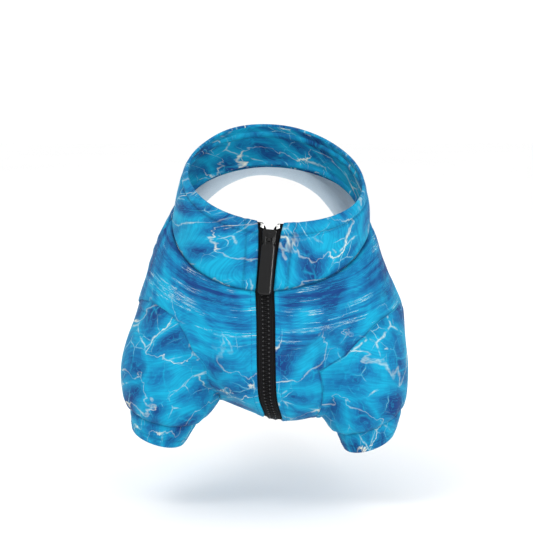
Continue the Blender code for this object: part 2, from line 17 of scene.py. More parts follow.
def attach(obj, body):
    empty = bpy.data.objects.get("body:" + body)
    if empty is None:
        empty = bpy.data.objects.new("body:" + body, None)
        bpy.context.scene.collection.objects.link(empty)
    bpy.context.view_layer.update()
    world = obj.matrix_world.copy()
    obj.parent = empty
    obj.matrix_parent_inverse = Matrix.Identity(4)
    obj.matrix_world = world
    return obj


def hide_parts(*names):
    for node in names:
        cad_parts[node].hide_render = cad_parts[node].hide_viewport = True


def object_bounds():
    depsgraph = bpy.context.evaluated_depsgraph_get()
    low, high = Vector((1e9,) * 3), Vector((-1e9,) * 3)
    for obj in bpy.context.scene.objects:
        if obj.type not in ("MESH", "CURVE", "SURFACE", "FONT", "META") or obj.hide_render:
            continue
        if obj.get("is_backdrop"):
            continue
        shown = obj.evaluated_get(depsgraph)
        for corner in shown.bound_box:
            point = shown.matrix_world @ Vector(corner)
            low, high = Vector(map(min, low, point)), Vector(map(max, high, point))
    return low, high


bl_info = {
    "name": "Dog Jacket",
    "version": (1, 0, 0),
    "blender": (4, 5, 0),
    "location": "3D View > Sidebar > Jacket",
    "description": "Builds a zip-up jacket for a small dog around its packed solids",
    "category": "Add Mesh",
}

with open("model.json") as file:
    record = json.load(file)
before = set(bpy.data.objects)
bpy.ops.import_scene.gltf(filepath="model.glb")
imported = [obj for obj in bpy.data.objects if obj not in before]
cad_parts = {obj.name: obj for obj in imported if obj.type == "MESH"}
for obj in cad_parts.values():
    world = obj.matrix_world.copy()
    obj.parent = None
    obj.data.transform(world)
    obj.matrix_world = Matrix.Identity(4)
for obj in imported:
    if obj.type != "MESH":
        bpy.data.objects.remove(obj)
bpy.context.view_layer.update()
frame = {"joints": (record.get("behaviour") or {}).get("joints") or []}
BODY = "jacket"
PULL_BODY = "pull"
MM = 0.001
DECIMETRE = 0.1
REACH = 0.05
PAST = 0.0015

# Body sections from the collar seam to the rear hem. y is a share of the chest's reach ahead of the
# withers (negative) or of the back's length behind it, z a share of the chest's height, width of its
# width, widest the share of the way from belly to back where the section is widest, lean a share of the
# neck's width and sway a share of the zip's window.
BODY_COLUMNS = ("belly_y", "belly_z", "back_y", "back_z", "width", "widest", "lean", "sway")
BODY_SECTIONS = (
    (-0.900, -0.460, -0.030, 0.008, 0.852, 0.50, 0.025, -0.25),
    (-0.965, -0.570, 0.015, 0.013, 0.930, 0.45, 0.010, -0.06),
    (-0.990, -0.730, 0.070, 0.014, 0.980, 0.42, 0.000, 0.05),
    (-0.940, -0.880, 0.140, 0.012, 1.000, 0.43, 0.000, 0.12),
    (-0.780, -0.975, 0.220, 0.008, 1.000, 0.47, 0.000, 0.38),
    (-0.480, -1.000, 0.330, 0.000, 0.980, 0.50, 0.000, 0.20),
    (-0.080, -0.990, 0.500, -0.010, 0.930, 0.50, 0.000, 0.00),
    (0.190, -0.950, 0.730, -0.050, 0.890, 0.50, 0.000, 0.00),
    (0.420, -0.880, 0.980, -0.120, 0.840, 0.50, 0.000, 0.00),
)

# Large swellings and hollows: centre in half chest widths, reaches and heights, radius and height as
# shares of the sleeve's width.
FOLD_COLUMNS = ("x", "y", "z", "radius", "height")
BODY_FOLDS = (
    (-1.05, -0.50, -0.57, 0.56, 0.100),
    (1.12, -0.50, -0.59, 0.56, 0.240),
    (0.52, -0.72, -0.99, 0.48, 0.085),
    (-0.42, -0.75, -0.97, 0.40, -0.130),
)

# Sleeve sections from inside the armhole to the cuff seam: x in half chest widths, y in reaches, drop in
# sleeve lengths, width and depth in sleeve widths (in the last row cuff widths) and tilt in degrees.
SLEEVE_COLUMNS = ("x", "y", "drop", "width", "depth", "tilt")
SLEEVE_SECTIONS = {
    "left": (
        (0.560, -0.500, -0.330, 0.860, 0.960, 50.0),
        (0.765, -0.540, 0.000, 1.080, 1.080, 36.0),
        (0.840, -0.570, 0.340, 1.100, 1.080, 27.0),
        (0.885, -0.580, 0.590, 0.900, 0.940, 22.0),
        (0.905, -0.580, 0.680, 1.020, 1.040, 18.5),
    ),
    "right": (
        (0.540, -0.500, -0.330, 0.860, 0.960, 50.0),
        (0.730, -0.540, 0.000, 1.000, 1.080, 36.0),
        (0.830, -0.570, 0.340, 1.080, 1.080, 24.0),
        (0.868, -0.580, 0.550, 0.930, 0.940, 14.0),
        (0.880, -0.580, 0.640, 1.020, 1.040, 11.0),
    ),
}
ARMHOLE_HEIGHT = -0.660

# Cuff sections below the cuff seam, in cuff widths and heights
CUFF_COLUMNS = ("out", "drop", "width", "depth", "tilt")
CUFF_SECTIONS = {
    "left": (
        (0.000, 0.00, 1.020, 1.04, 18.5),
        (0.008, 0.50, 0.930, 0.96, 17.5),
        (0.006, 1.00, 0.775, 0.82, 17.0),
    ),
    "right": (
        (0.000, 0.00, 1.020, 1.04, 11.0),
        (0.040, 0.50, 0.930, 0.96, 13.0),
        (0.090, 1.00, 0.800, 0.82, 16.0),
    ),
}
SIDES = {"left": 1, "right": -1}

# The armhole seams run on the body, outside the crease where the sleeve leaves it. Height is a share of the
# chest's height and margin, the distance from the crease, a share of the sleeve's width.
SEAM_COLUMNS = ("height", "margin")
ARMHOLE_SEAMS = {
    "left": ((-1.02, 0.05), (-0.92, 0.13), (-0.85, 0.20), (-0.775, 0.29), (-0.715, 0.07), (-0.64, 0.00), (-0.50, 0.00)),
    "right": ((-1.02, 0.02), (-0.92, 0.03), (-0.84, 0.12), (-0.76, 0.19), (-0.70, 0.12), (-0.60, 0.09), (-0.50, 0.05)),
}
REAR_MARGIN = 0.02

# Collar rows: share of the height and outward push in collar heights
COLLAR_COLUMNS = ("rise", "push")
COLLAR_ROWS = ((0.00, 0.000), (0.22, 0.022), (0.50, 0.034), (0.80, 0.034), (1.00, 0.024))
RIM_FRONT = (0.12, 1.00)
RIM_BACK = (-0.38, 0.62)
RIM_DIP = 0.07
SIDE_SEAM = 0.53
SLEEVE_PITCH = 14.0

# Columns for creases in the cloth, which nothing here reads: where along the piece, how far round, their lengths and
# depth in mm
CREASE_COLUMNS = ("down", "round", "slant", "length", "width", "depth")


def length_property(name, description, default):
    """A size that a user may change, shown in the scene's units."""
    return FloatProperty(name=name, description=description, default=default, unit="LENGTH", precision=4)


class JacketSizes(bpy.types.PropertyGroup):
    """Sizes of the cloth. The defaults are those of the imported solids."""

    chest_width: length_property("Chest width", "Width of the body at the chest", 0.176)
    chest_height: length_property("Chest height", "From the withers down to the chest's lowest point", 0.190)
    chest_reach: length_property("Chest reach", "From the withers forward to the chest", 0.132)
    back_length: length_property("Back length", "From the withers back to the rear hem", 0.262)
    neck_width: length_property("Neck width", "Width of the collar seam", 0.150)
    collar_height: length_property("Collar height", "Height of the standing collar", 0.050)
    collar_width: length_property("Collar width", "Width of the collar's rim", 0.134)
    collar_sway: length_property("Collar sway", "How far the rim leans to the left", 0.004)
    collar_roll: FloatProperty(
        name="Collar roll", description="Roll of the rim", default=math.radians(4.0), subtype="ANGLE"
    )
    sleeve_length: length_property("Sleeve length", "Length that the sleeve's sections share", 0.094)
    sleeve_width: length_property("Sleeve width", "Width of the sleeve", 0.074)
    cuff_height: length_property("Cuff height", "Height of the cuff", 0.017)
    cuff_width: length_property("Cuff width", "Width of the cuff seam", 0.052)
    wall: length_property("Cloth thickness", "Thickness of the brushed knit", 0.0018)
    collar_wall: length_property("Collar thickness", "Thickness of the doubled collar", 0.0026)
    blend: length_property("Armhole ease", "How far the armhole's crease is rounded", 0.011)


class JacketZip(bpy.types.PropertyGroup):
    """Sizes of the zip."""

    window: length_property("Window", "Width of tape and teeth that show", 0.0160)
    flare: length_property("Flare", "How much wider the window is at the rim", 0.0060)
    tape_width: length_property("Tape width", "Width of one tape", 0.0110)
    tape_depth: length_property("Tape depth", "How far the tape lies below the cloth's face", 0.0027)
    tape_spread: length_property("Tape spread", "How far each tape's edge parts at the rim", 0.0060)
    tooth_pitch: length_property("Tooth pitch", "Distance between two teeth of one side", 0.0032)
    chain_width: length_property("Chain width", "Width of the closed teeth", 0.0062)
    slider_drop: length_property("Slider drop", "From the rim to the slider", 0.0045)
    slider_length: length_property("Slider length", "Length of the slider's plates", 0.0120)
    slider_width: length_property("Slider width", "Width of the slider's plates", 0.0110)
    pull_length: length_property("Pull length", "From the pull's pin to its end", 0.0430)
    pull_width: length_property("Pull width", "Width of the pull's tab", 0.0105)
    stitch: length_property("Stitch length", "Length of one stitch with its gap", 0.0030)


def colour_property(name, description, code):
    """A colour that a user may change, from its sRGB hex value."""
    return FloatVectorProperty(
        name=name, description=description, default=linear(code), subtype="COLOR", size=3, min=0, max=1
    )


def linear(code):
    """An sRGB hex value as linear red, green and blue."""
    parts = [int(code[i : i + 2], 16) / 255 for i in (1, 3, 5)]
    return tuple(p / 12.92 if p <= 0.04045 else ((p + 0.055) / 1.055) ** 2.4 for p in parts)


class JacketColours(bpy.types.PropertyGroup):
    """Colours of the print, the inside, the thread and the zip."""

    deep: colour_property("Deep water", "The print's darkest blue", "#113d76")
    water: colour_property("Water", "The print's middle blue", "#0f6c9e")
    shallow: colour_property("Shallow water", "The print's cyan", "#0f98bd")
    glint: colour_property("Glints", "The print's lightest lines", "#e8e4cd")
    inside: colour_property("Inside", "The unprinted brushed side", "#c9dbe8")
    thread: colour_property("Thread", "The topstitching", "#136a9c")
    black: colour_property("Zip black", "Tape, teeth, slider and pull", "#0b0b0c")
    metal: colour_property("Stop metal", "The top stops", "#d9d9d6")
    floor: colour_property("Floor", "The studio's floor", "#fafafa")


def sizes():
    """The sizes of the cloth."""
    return bpy.context.scene.jacket_sizes


def zip_sizes():
    """The sizes of the zip."""
    return bpy.context.scene.jacket_zip


def colours():
    """The colours."""
    return bpy.context.scene.jacket_colours


# Grids of points

BODY_STEPS = 22
BODY_RING = 420
SLEEVE_STEPS = 18
SLEEVE_RING = 132
CUFF_STEPS = 9
COLLAR_STEPS = 14
_made = {}


def table(columns, rows):
    """The rows of a table as dictionaries."""
    return [dict(zip(columns, row)) for row in rows]


def smooth_rows(rows, steps):
    """Catmull-Rom values between the rows of a table, steps to each interval."""
    keys = list(rows[0])
    values = np.array([[row[key] for key in keys] for row in rows])
    padded = np.vstack([2 * values[0] - values[1], values, 2 * values[-1] - values[-2]])
    found = []
    for index in range(len(values) - 1):
        before, start, end, after = padded[index : index + 4]
        for step in range(steps):
            t = step / steps
            found.append(
                0.5
                * (
                    2 * start
                    + (end - before) * t
                    + (2 * before - 5 * start + 4 * end - after) * t**2
                    + (3 * start - before - 3 * end + after) * t**3
                )
            )
    found.append(values[-1])
    return [dict(zip(keys, row)) for row in found]


def unit(vectors):
    """Vectors of length one."""
    return vectors / np.maximum(np.linalg.norm(vectors, axis=-1, keepdims=True), 1e-12)


def grid_normals(grid):
    """Unit normals of closed rings of points, pointing away from the rings' middles."""
    along = np.gradient(grid, axis=0)
    across = (np.roll(grid, -1, axis=1) - np.roll(grid, 1, axis=1)) / 2
    normals = unit(np.cross(across, along))
    outward = grid - grid.mean(axis=1)[:, None]
    return normals if (normals * outward).sum() > 0 else -normals


def body_ring(section, angles):
    """Points of one body section. Angle 0 is the zip line, 90 degrees the wearer's left, 180 the spine."""
    s = sizes()
    reach = [section[k] * (s.chest_reach if section[k] < 0 else s.back_length) for k in ("belly_y", "back_y")]
    belly = np.array([0.0, reach[0], section["belly_z"] * s.chest_height])
    back = np.array([0.0, reach[1], section["back_z"] * s.chest_height])
    cosine = np.cos(angles)
    widest = section["widest"]
    along = np.where(cosine > 0, widest * (1 - cosine), widest - (1 - widest) * cosine)
    points = belly + (back - belly) * along[:, None]
    points[:, 0] += section["lean"] * s.neck_width + section["width"] * s.chest_width / 2 * np.sin(angles)
    points[:, 0] += section["sway"] * zip_sizes().window * np.clip(cosine, 0, 1) ** 4
    return points


def body_surface():
    """The outside of the body as full rings, from the collar seam to the rear hem, and its normals."""
    if "body" not in _made:
        s = sizes()
        sections = table(BODY_COLUMNS, BODY_SECTIONS)
        sections[0]["width"] = s.neck_width / s.chest_width
        angles = np.linspace(0, 2 * math.pi, BODY_RING, endpoint=False)
        grid = np.array([body_ring(row, angles) for row in smooth_rows(sections, BODY_STEPS)])
        normals = grid_normals(grid)
        moved = grid.copy()
        for fold in table(FOLD_COLUMNS, BODY_FOLDS):
            centre = np.array(
                [fold["x"] * s.chest_width / 2, fold["y"] * s.chest_reach, fold["z"] * s.chest_height]
            )
            away = np.linalg.norm(grid - centre, axis=2) / (fold["radius"] * s.sleeve_width)
            moved += normals * (fold["height"] * s.sleeve_width * np.exp(-(away**2)))[:, :, None]
        _made["body"] = moved, grid_normals(moved)
    return _made["body"]


def collar_surface():
    """The outside of the collar as full rings, from the seam ring up to the rim, and its normals."""
    if "collar" not in _made:
        s = sizes()
        seam = body_surface()[0][0]
        angles = np.linspace(0, 2 * math.pi, len(seam), endpoint=False)
        back = (1 - np.cos(angles)) / 2
        rise = np.outer(1 - back, RIM_FRONT) + np.outer(back, RIM_BACK)
        rise[:, 1] -= RIM_DIP * np.sin(angles) ** 2
        outward = seam - seam.mean(axis=0)
        narrowing = (s.collar_width - s.neck_width) / s.neck_width
        rows = []
        for row in smooth_rows(table(COLLAR_COLUMNS, COLLAR_ROWS), COLLAR_STEPS):
            ring = seam.copy()
            ring[:, 1:] += rise * s.collar_height * row["rise"]
            ring[:, 0] += outward[:, 0] * narrowing * row["rise"] + s.collar_sway * row["rise"]
            ring[:, 2] -= outward[:, 0] * math.tan(s.collar_roll) * row["rise"]
            ring += unit(outward * np.array([1, 1, 0])) * row["push"] * s.collar_height
            rows.append(ring)
        grid = np.array(rows)
        _made["collar"] = grid, grid_normals(grid)
    return _made["collar"]


def limb_rings(sections, side, count):
    """Rings of a sleeve or cuff from sections in metres. They start on the inner side, where the seam is."""
    angles = math.pi + np.linspace(0, 2 * math.pi, count, endpoint=False)
    pitch = math.radians(SLEEVE_PITCH)
    depthwise = np.array([0, math.cos(pitch), math.sin(pitch)])
    rings = []
    for row in sections:
        tilt = math.radians(row["tilt"])
        sideways = np.array([side * math.cos(tilt), 0, math.sin(tilt)])
        centre = np.array([side * row["x"], row["y"], row["z"]])
        rings.append(
            centre
            + np.outer(np.cos(angles), sideways) * row["width"] / 2
            + np.outer(np.sin(angles), depthwise) * row["depth"] / 2
        )
    rings = np.array(rings)
    return rings if side > 0 else rings[:, (-np.arange(count)) % count]


def sleeve_rows(name):
    """The sleeve's sections in metres."""
    s = sizes()
    rows = table(SLEEVE_COLUMNS, SLEEVE_SECTIONS[name])
    girths = [s.sleeve_width] * (len(rows) - 1) + [s.cuff_width]
    return [
        {
            "x": row["x"] * s.chest_width / 2,
            "y": row["y"] * s.chest_reach,
            "z": ARMHOLE_HEIGHT * s.chest_height - row["drop"] * s.sleeve_length,
            "width": row["width"] * girth,
            "depth": row["depth"] * girth,
            "tilt": row["tilt"],
        }
        for row, girth in zip(rows, girths)
    ]


def sleeve_surface(name):
    """The outside of a sleeve as rings, and its normals."""
    if name not in _made:
        grid = limb_rings(smooth_rows(sleeve_rows(name), SLEEVE_STEPS), SIDES[name], SLEEVE_RING)
        _made[name] = grid, grid_normals(grid)
    return _made[name]


def cuff_surface(name):
    """The outside of a cuff as rings, and its normals."""
    s = sizes()
    seam = sleeve_rows(name)[-1]
    rows = [
        {
            "x": seam["x"] + row["out"] * s.cuff_width,
            "y": seam["y"],
            "z": seam["z"] - row["drop"] * s.cuff_height,
            "width": row["width"] * s.cuff_width,
            "depth": row["depth"] * s.cuff_width,
            "tilt": row["tilt"],
        }
        for row in table(CUFF_COLUMNS, CUFF_SECTIONS[name])
    ]
    grid = limb_rings(smooth_rows(rows, CUFF_STEPS), SIDES[name], SLEEVE_RING)
    return grid, grid_normals(grid)


def ring_length(ring):
    """The girth of a closed ring."""
    return np.linalg.norm(ring - np.roll(ring, 1, axis=0), axis=1).sum()


def pick_round(ring, values, distances):
    """Values of a closed ring at distances from its first point, negative the other way round."""
    steps = np.linalg.norm(np.roll(ring, -1, axis=0) - ring, axis=1)
    length = np.concatenate([[0], np.cumsum(steps)])
    closed = np.vstack([values, values[:1]])
    wanted = np.mod(distances, length[-1])
    return np.stack([np.interp(wanted, length, closed[:, axis]) for axis in range(values.shape[1])], axis=1)


def band(grid, normals, start, end, columns):
    """A strip of full rings between two distances from the zip line: points, normals and those distances."""
    start, end = np.broadcast_to(start, len(grid)), np.broadcast_to(end, len(grid))
    spans = np.array([np.linspace(a, b, columns) for a, b in zip(start, end)])
    points = np.array([pick_round(r, r, d) for r, d in zip(grid, spans)])
    turned = np.array([pick_round(r, n, d) for r, n, d in zip(grid, normals, spans)])
    return points, unit(turned), spans


def distance_down(points):
    """Length along each column from its first row."""
    steps = np.linalg.norm(np.diff(points, axis=0), axis=2)
    return np.vstack([np.zeros(points.shape[1]), np.cumsum(steps, axis=0)])


# Cloth: a sheet of triangles with values at its points, cut, creased and given its thickness


class Cloth:
    """Triangles with a table of values at each point: place, normal, print coordinates and edge distances."""

    def __init__(self, points, normals, fields, girth=None):
        rows, columns = points.shape[:2]
        self.girth = girth
        self.points = points.reshape(-1, 3)
        self.normals = normals.reshape(-1, 3)
        self.fields = {name: np.asarray(value, float).reshape(-1) for name, value in fields.items()}
        index = np.arange(rows * columns).reshape(rows, columns)
        if girth is not None:
            index = np.hstack([index, index[:, :1]])
        a, b, c, d = (index[:-1, :-1], index[:-1, 1:], index[1:, 1:], index[1:, :-1])
        a, b, c, d = (part.reshape(-1) for part in (a, b, c, d))
        self.faces = np.concatenate([np.stack([a, b, c], 1), np.stack([a, c, d], 1)])
        corner = self.points[self.faces]
        turn = np.cross(corner[:, 1] - corner[:, 0], corner[:, 2] - corner[:, 0])
        if (turn * self.normals[self.faces[:, 0]]).sum() < 0:
            self.faces = self.faces[:, ::-1]

    def join(self, other):
        """Adds another sheet's triangles, with the fields that both have."""
        self.faces = np.concatenate([self.faces, other.faces + len(self.points)])
        self.points = np.vstack([self.points, other.points])
        self.normals = np.vstack([self.normals, other.normals])
        shared = self.fields.keys() & other.fields.keys()
        self.fields = {name: np.concatenate([self.fields[name], other.fields[name]]) for name in shared}
        return self

    def keep(self, field, past=0.0):
        """Cuts a little past the line where a field is nothing and keeps the side where it is positive."""
        self.fields["cut"] = self.fields[field] + past
        field = "cut"
        value = self.fields[field]
        value = np.where(np.abs(value) < 1e-7, 1e-7, value)
        inside = value[self.faces] > 0
        count = inside.sum(axis=1)
        whole = self.faces[count == 3]
        cut = self.faces[(count == 1) | (count == 2)]
        kept = value[cut] > 0
        lone = np.where(kept.sum(axis=1) == 1, kept.argmax(axis=1), (~kept).argmax(axis=1))
        order = (lone[:, None] + np.arange(3)) % 3
        cut = np.take_along_axis(cut, order, axis=1)
        first = value[cut[:, 0]] > 0
        edges = np.concatenate([cut[:, [0, 1]], cut[:, [0, 2]]])
        pairs, found = np.unique(np.sort(edges, axis=1), axis=0, return_inverse=True)
        found = found.reshape(-1)
        share = value[pairs[:, 0]] / (value[pairs[:, 0]] - value[pairs[:, 1]])
        base = len(self.points)
        self.points = np.vstack([self.points, self.mix(self.points, pairs, share)])
        self.normals = np.vstack([self.normals, unit(self.mix(self.normals, pairs, share))])
        for name, values in self.fields.items():
            self.fields[name] = np.concatenate([values, self.mix(values, pairs, share)])
        left, right = base + found[: len(cut)], base + found[len(cut) :]
        tips = np.stack([cut[:, 0], left, right], 1)[first]
        rest = ~first
        low = np.stack([left, cut[:, 1], cut[:, 2]], 1)[rest]
        high = np.stack([left, cut[:, 2], right], 1)[rest]
        self.faces = np.concatenate([whole, tips, low, high])
        self.tidy()
        return self

    @staticmethod
    def mix(values, pairs, share):
        """Values between the two ends of edges."""
        share = share if values.ndim == 1 else share[:, None]
        return values[pairs[:, 0]] * (1 - share) + values[pairs[:, 1]] * share

    def tidy(self):
        """Drops points that no face uses and faces that have shrunk away."""
        f = self.faces
        f = f[(f[:, 0] != f[:, 1]) & (f[:, 1] != f[:, 2]) & (f[:, 0] != f[:, 2])]
        used, f = np.unique(f, return_inverse=True)
        self.faces = f.reshape(-1, 3)
        self.points, self.normals = self.points[used], self.normals[used]
        self.fields = {name: values[used] for name, values in self.fields.items()}

    def push(self, distance, direction=None):
        """Moves the points along their normals or another direction."""
        direction = self.normals if direction is None else direction
        self.points = self.points + direction * np.asarray(distance)[:, None]
        return self

    def paint_crease_shade(self, share):
        """Marks the valleys of seams and stitch lines for painted shade, which the material darkens as though shade lay
        in them.
        """
        self.fields["painted_crease_shade"] = np.maximum(self.fields.get("painted_crease_shade", np.zeros(len(self.points))), share)

    def area(self):
        """The area of the sheet."""
        corner = self.points[self.faces]
        return np.linalg.norm(np.cross(corner[:, 1] - corner[:, 0], corner[:, 2] - corner[:, 0]), axis=1).sum() / 2

    def fresh_normals(self):
        """Normals of the moved surface, averaged at each point."""
        corner = self.points[self.faces]
        turn = np.cross(corner[:, 1] - corner[:, 0], corner[:, 2] - corner[:, 0])
        total = np.zeros_like(self.points)
        for k in range(3):
            np.add.at(total, self.faces[:, k], turn)
        return unit(total)

    def edge_loop(self):
        """The open edges, each in the direction of its face."""
        f = self.faces
        edges = np.concatenate([f[:, [0, 1]], f[:, [1, 2]], f[:, [2, 0]]])
        keys = np.sort(edges, axis=1)
        _, first, count = np.unique(keys, axis=0, return_index=True, return_counts=True)
        return edges[first[count == 1]]


LIP_STEPS = 3


def cloth_object(name, cloth, wall, outer, inner):
    """A closed piece of cloth with rounded edges: outer face, inner face and the lip between them."""
    normals = cloth.fresh_normals()
    count = len(cloth.points)
    edges = cloth.edge_loop()
    away = np.zeros_like(cloth.points)
    along = unit(cloth.points[edges[:, 1]] - cloth.points[edges[:, 0]])
    for k in range(2):
        np.add.at(away, edges[:, k], np.cross(along, normals[edges[:, k]]))
    rim = np.unique(edges)
    away = unit(away[rim])
    place = np.full(count, -1)
    place[rim] = np.arange(len(rim))
    points = [cloth.points, cloth.points - normals * wall]
    for step in range(1, LIP_STEPS + 1):
        turn = math.pi * step / (LIP_STEPS + 1)
        depth = wall / 2 * (1 - math.cos(turn))
        points.append(cloth.points[rim] - normals[rim] * depth + away * wall / 2 * math.sin(turn))
    rings = [rim] + [2 * count + k * len(rim) + np.arange(len(rim)) for k in range(LIP_STEPS)] + [count + rim]
    faces = [cloth.faces, cloth.faces[:, ::-1] + count]
    a, b = place[edges[:, 0]], place[edges[:, 1]]
    for upper, lower in zip(rings, rings[1:]):
        faces.append(np.stack([upper[b], upper[a], lower[a]], 1))
        faces.append(np.stack([upper[b], lower[a], lower[b]], 1))
    stacked = np.concatenate(points)
    uv = np.stack([cloth.fields["across"], cloth.fields["down"]], 1) / DECIMETRE
    uv = np.concatenate([uv, uv] + [uv[rim]] * LIP_STEPS)
    obj = mesh_object(name, stacked, np.concatenate(faces))
    inside = np.zeros(sum(len(f) for f in faces), np.int32)
    inside[len(cloth.faces) : 2 * len(cloth.faces)] = 1
    obj.data.materials.append(outer)
    obj.data.materials.append(inner)
    obj.data.polygons.foreach_set("material_index", inside)
    layer = obj.data.uv_layers.new(name="cloth")
    corners = np.zeros(len(obj.data.loops), np.int32)
    obj.data.loops.foreach_get("vertex_index", corners)
    placed = uv[corners].reshape(-1, 3, 2)
    if cloth.girth is not None:
        turn = cloth.girth / DECIMETRE
        behind = placed[:, :, 0].max(axis=1)[:, None] - placed[:, :, 0] > turn / 2
        placed[:, :, 0] += turn * behind
    layer.data.foreach_set("uv", placed.reshape(-1).astype(np.float32))
    # Painted shade: the crease shade goes onto the mesh as a point attribute, which the print's material reads to
    # darken seams and stitch lines.
    painted_crease_shade = np.zeros(len(stacked), np.float32)
    painted_crease_shade[:count] = np.clip(cloth.fields.get("painted_crease_shade", painted_crease_shade[:count]), 0, 1)
    obj.data.attributes.new("painted_crease_shade", "FLOAT", "POINT").data.foreach_set("value", painted_crease_shade)
    return obj


def mesh_object(name, points, faces, material=None, smooth=True):
    """An object from arrays of points and faces."""
    mesh = bpy.data.meshes.new(name)
    mesh.from_pydata(np.asarray(points, float).tolist(), [], np.asarray(faces).tolist())
    mesh.validate()
    if smooth:
        mesh.shade_smooth()
    obj = bpy.data.objects.new(name, mesh)
    bpy.context.scene.collection.objects.link(obj)
    if material is not None:
        mesh.materials.append(material)
    return obj


def fit(obj, slot, *nodes, body=BODY):
    """Ties a finished piece to its body and hides the solids that it stands for. The slot is not used."""
    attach(obj, body)
    if nodes:
        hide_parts(*nodes)
    return obj


def declare(cloth, extent):
    """Works out the smaller of the sheet's area and its flat size, and keeps neither."""
    width, length = extent
    min(cloth.area(), width * length)


def signed_distance(points, surface, reach):
    """Distance of points outside a surface, negative inside, and the surface's normals there."""
    grid, normals = (part.reshape(-1, 3) for part in surface)
    low, high = grid.min(axis=0) - reach, grid.max(axis=0) + reach
    near = np.all((points > low) & (points < high), axis=1)
    tree = KDTree(len(grid))
    for index, place in enumerate(grid.tolist()):
        tree.insert(place, index)
    tree.balance()
    distance = np.full(len(points), reach)
    direction = np.zeros_like(points)
    chosen = np.flatnonzero(near)
    nearest = np.array([tree.find(place)[1] for place in points[chosen].tolist()], int)
    if len(chosen):
        distance[chosen] = ((points[chosen] - grid[nearest]) * normals[nearest]).sum(axis=1)
        direction[chosen] = normals[nearest]
    return np.clip(distance, -reach, reach), direction


def ease(cloth, field, direction):
    """Rounds the crease along an armhole by pushing both pieces out towards each other."""
    k = sizes().blend
    near = np.clip(1 - np.clip(cloth.fields[field], 0, None) / k, 0, 1)
    turned = unit(cloth.normals + direction * near[:, None])
    cloth.push(k * 0.25 * near**2, turned)


def bump_line(distance, centre, width):
    """A soft ridge across a distance."""
    return np.exp(-(((distance - centre) / width) ** 2))


def ripples(a, b, seed, scale, octaves=3):
    """Smooth seeded unevenness over two coordinates, between -1 and 1."""
    random = np.random.default_rng(seed)
    total = np.zeros_like(a)
    for octave in range(octaves):
        for _ in range(4):
            turn, phase = random.uniform(0, 2 * math.pi, 2)
            stretch = scale / 1.7**octave * random.uniform(0.8, 1.25)
            wave = (a * math.cos(turn) + b * math.sin(turn)) / stretch * 2 * math.pi
            total += np.sin(wave + phase) * 0.55**octave
    return total / 6


# Materials


def add_node(tree, kind, inputs=None, **settings):
    """Adds a node with its settings, its values and its links."""
    node = tree.nodes.new(kind)
    for name, value in settings.items():
        setattr(node, name, value)
    for key, value in (inputs or {}).items():
        if isinstance(value, bpy.types.NodeSocket):
            tree.links.new(value, node.inputs[key])
        else:
            node.inputs[key].default_value = value
    return node


def new_material(name, **values):
    """A material with its surface shader's constant values set, its tree and that shader."""
    material = bpy.data.materials.new(name)
    material.use_nodes = True
    shader = material.node_tree.nodes["Principled BSDF"]
    for key, value in values.items():
        shader.inputs[key.replace("_", " ")].default_value = value
    return material, material.node_tree, shader


def opaque(colour):
    """A colour with its alpha."""
    return (*colour, 1.0)


def ramp(tree, value, stops, interpolation="LINEAR"):
    """A colour ramp with its stops, read at a value."""
    node = add_node(tree, "ShaderNodeValToRGB", {"Fac": value})
    node.color_ramp.interpolation = interpolation
    elements = node.color_ramp.elements
    while len(elements) < len(stops):
        elements.new(0.5)
    for element, (position, colour) in zip(elements, stops):
        element.position = position
        element.color = colour
    return node.outputs["Color"]


def maths(tree, operation, first, second=0.5, third=0.5, clamp=False):
    """A sum worked out by a node."""
    node = add_node(tree, "ShaderNodeMath", operation=operation, use_clamp=clamp)
    for socket, value in zip(node.inputs, (first, second, third)):
        if isinstance(value, bpy.types.NodeSocket):
            tree.links.new(value, socket)
        else:
            socket.default_value = value
    return node.outputs[0]


def blend_colours(tree, share, first, second, kind="MIX"):
    """One colour over another by a share."""
    node = add_node(tree, "ShaderNodeMix", data_type="RGBA", blend_type=kind)
    for key, value in ((0, share), (6, first), (7, second)):
        if isinstance(value, bpy.types.NodeSocket):
            tree.links.new(value, node.inputs[key])
        else:
            node.inputs[key].default_value = value if key == 0 else opaque(value[:3])
    return node.outputs[2]


def knit_bump(tree, place, strength):
    """Fine rows of knit loops as bump. Real loops are 0.5 mm apart; 0.9 mm shows at the render's size."""
    gauge = 100 / 0.9
    wales = add_node(
        tree,
        "ShaderNodeTexWave",
        {"Vector": place, "Scale": gauge / 2 / math.pi * 3.14, "Distortion": 1.2, "Detail": 1.0, "Detail Scale": 2.0},
        wave_type="BANDS",
        bands_direction="X",
    )
    nap = add_node(tree, "ShaderNodeTexNoise", {"Vector": place, "Scale": 60.0, "Detail": 4.0})
    height = maths(tree, "MULTIPLY_ADD", wales.outputs["Fac"], 0.35, nap.outputs["Fac"])
    bump = add_node(tree, "ShaderNodeBump", {"Strength": strength, "Distance": 0.0006, "Height": height})
    return bump.outputs["Normal"]


PRINT_SLOT = "printed_knit"
STREAK_SLANT = -8.0


def bend(tree, place, scale, reach, detail=1.0):
    """Coordinates pushed about by noise of a scale, as far as reach."""
    noise = add_node(tree, "ShaderNodeTexNoise", {"Vector": place, "Scale": scale, "Detail": detail})
    return add_node(
        tree,
        "ShaderNodeVectorMath",
        {0: noise.outputs["Color"], 1: (reach, reach, 0.0), 2: place},
        operation="MULTIPLY_ADD",
    ).outputs["Vector"]


def noise_share(tree, place, scale, low, high, detail=2.0):
    """Patches: nothing below one level of noise, whole above another."""
    noise = add_node(tree, "ShaderNodeTexNoise", {"Vector": place, "Scale": scale, "Detail": detail})
    return add_node(
        tree,
        "ShaderNodeMapRange",
        {"Value": noise.outputs["Fac"], "From Min": low, "From Max": high},
        clamp=True,
        interpolation_type="SMOOTHSTEP",
    ).outputs["Result"]


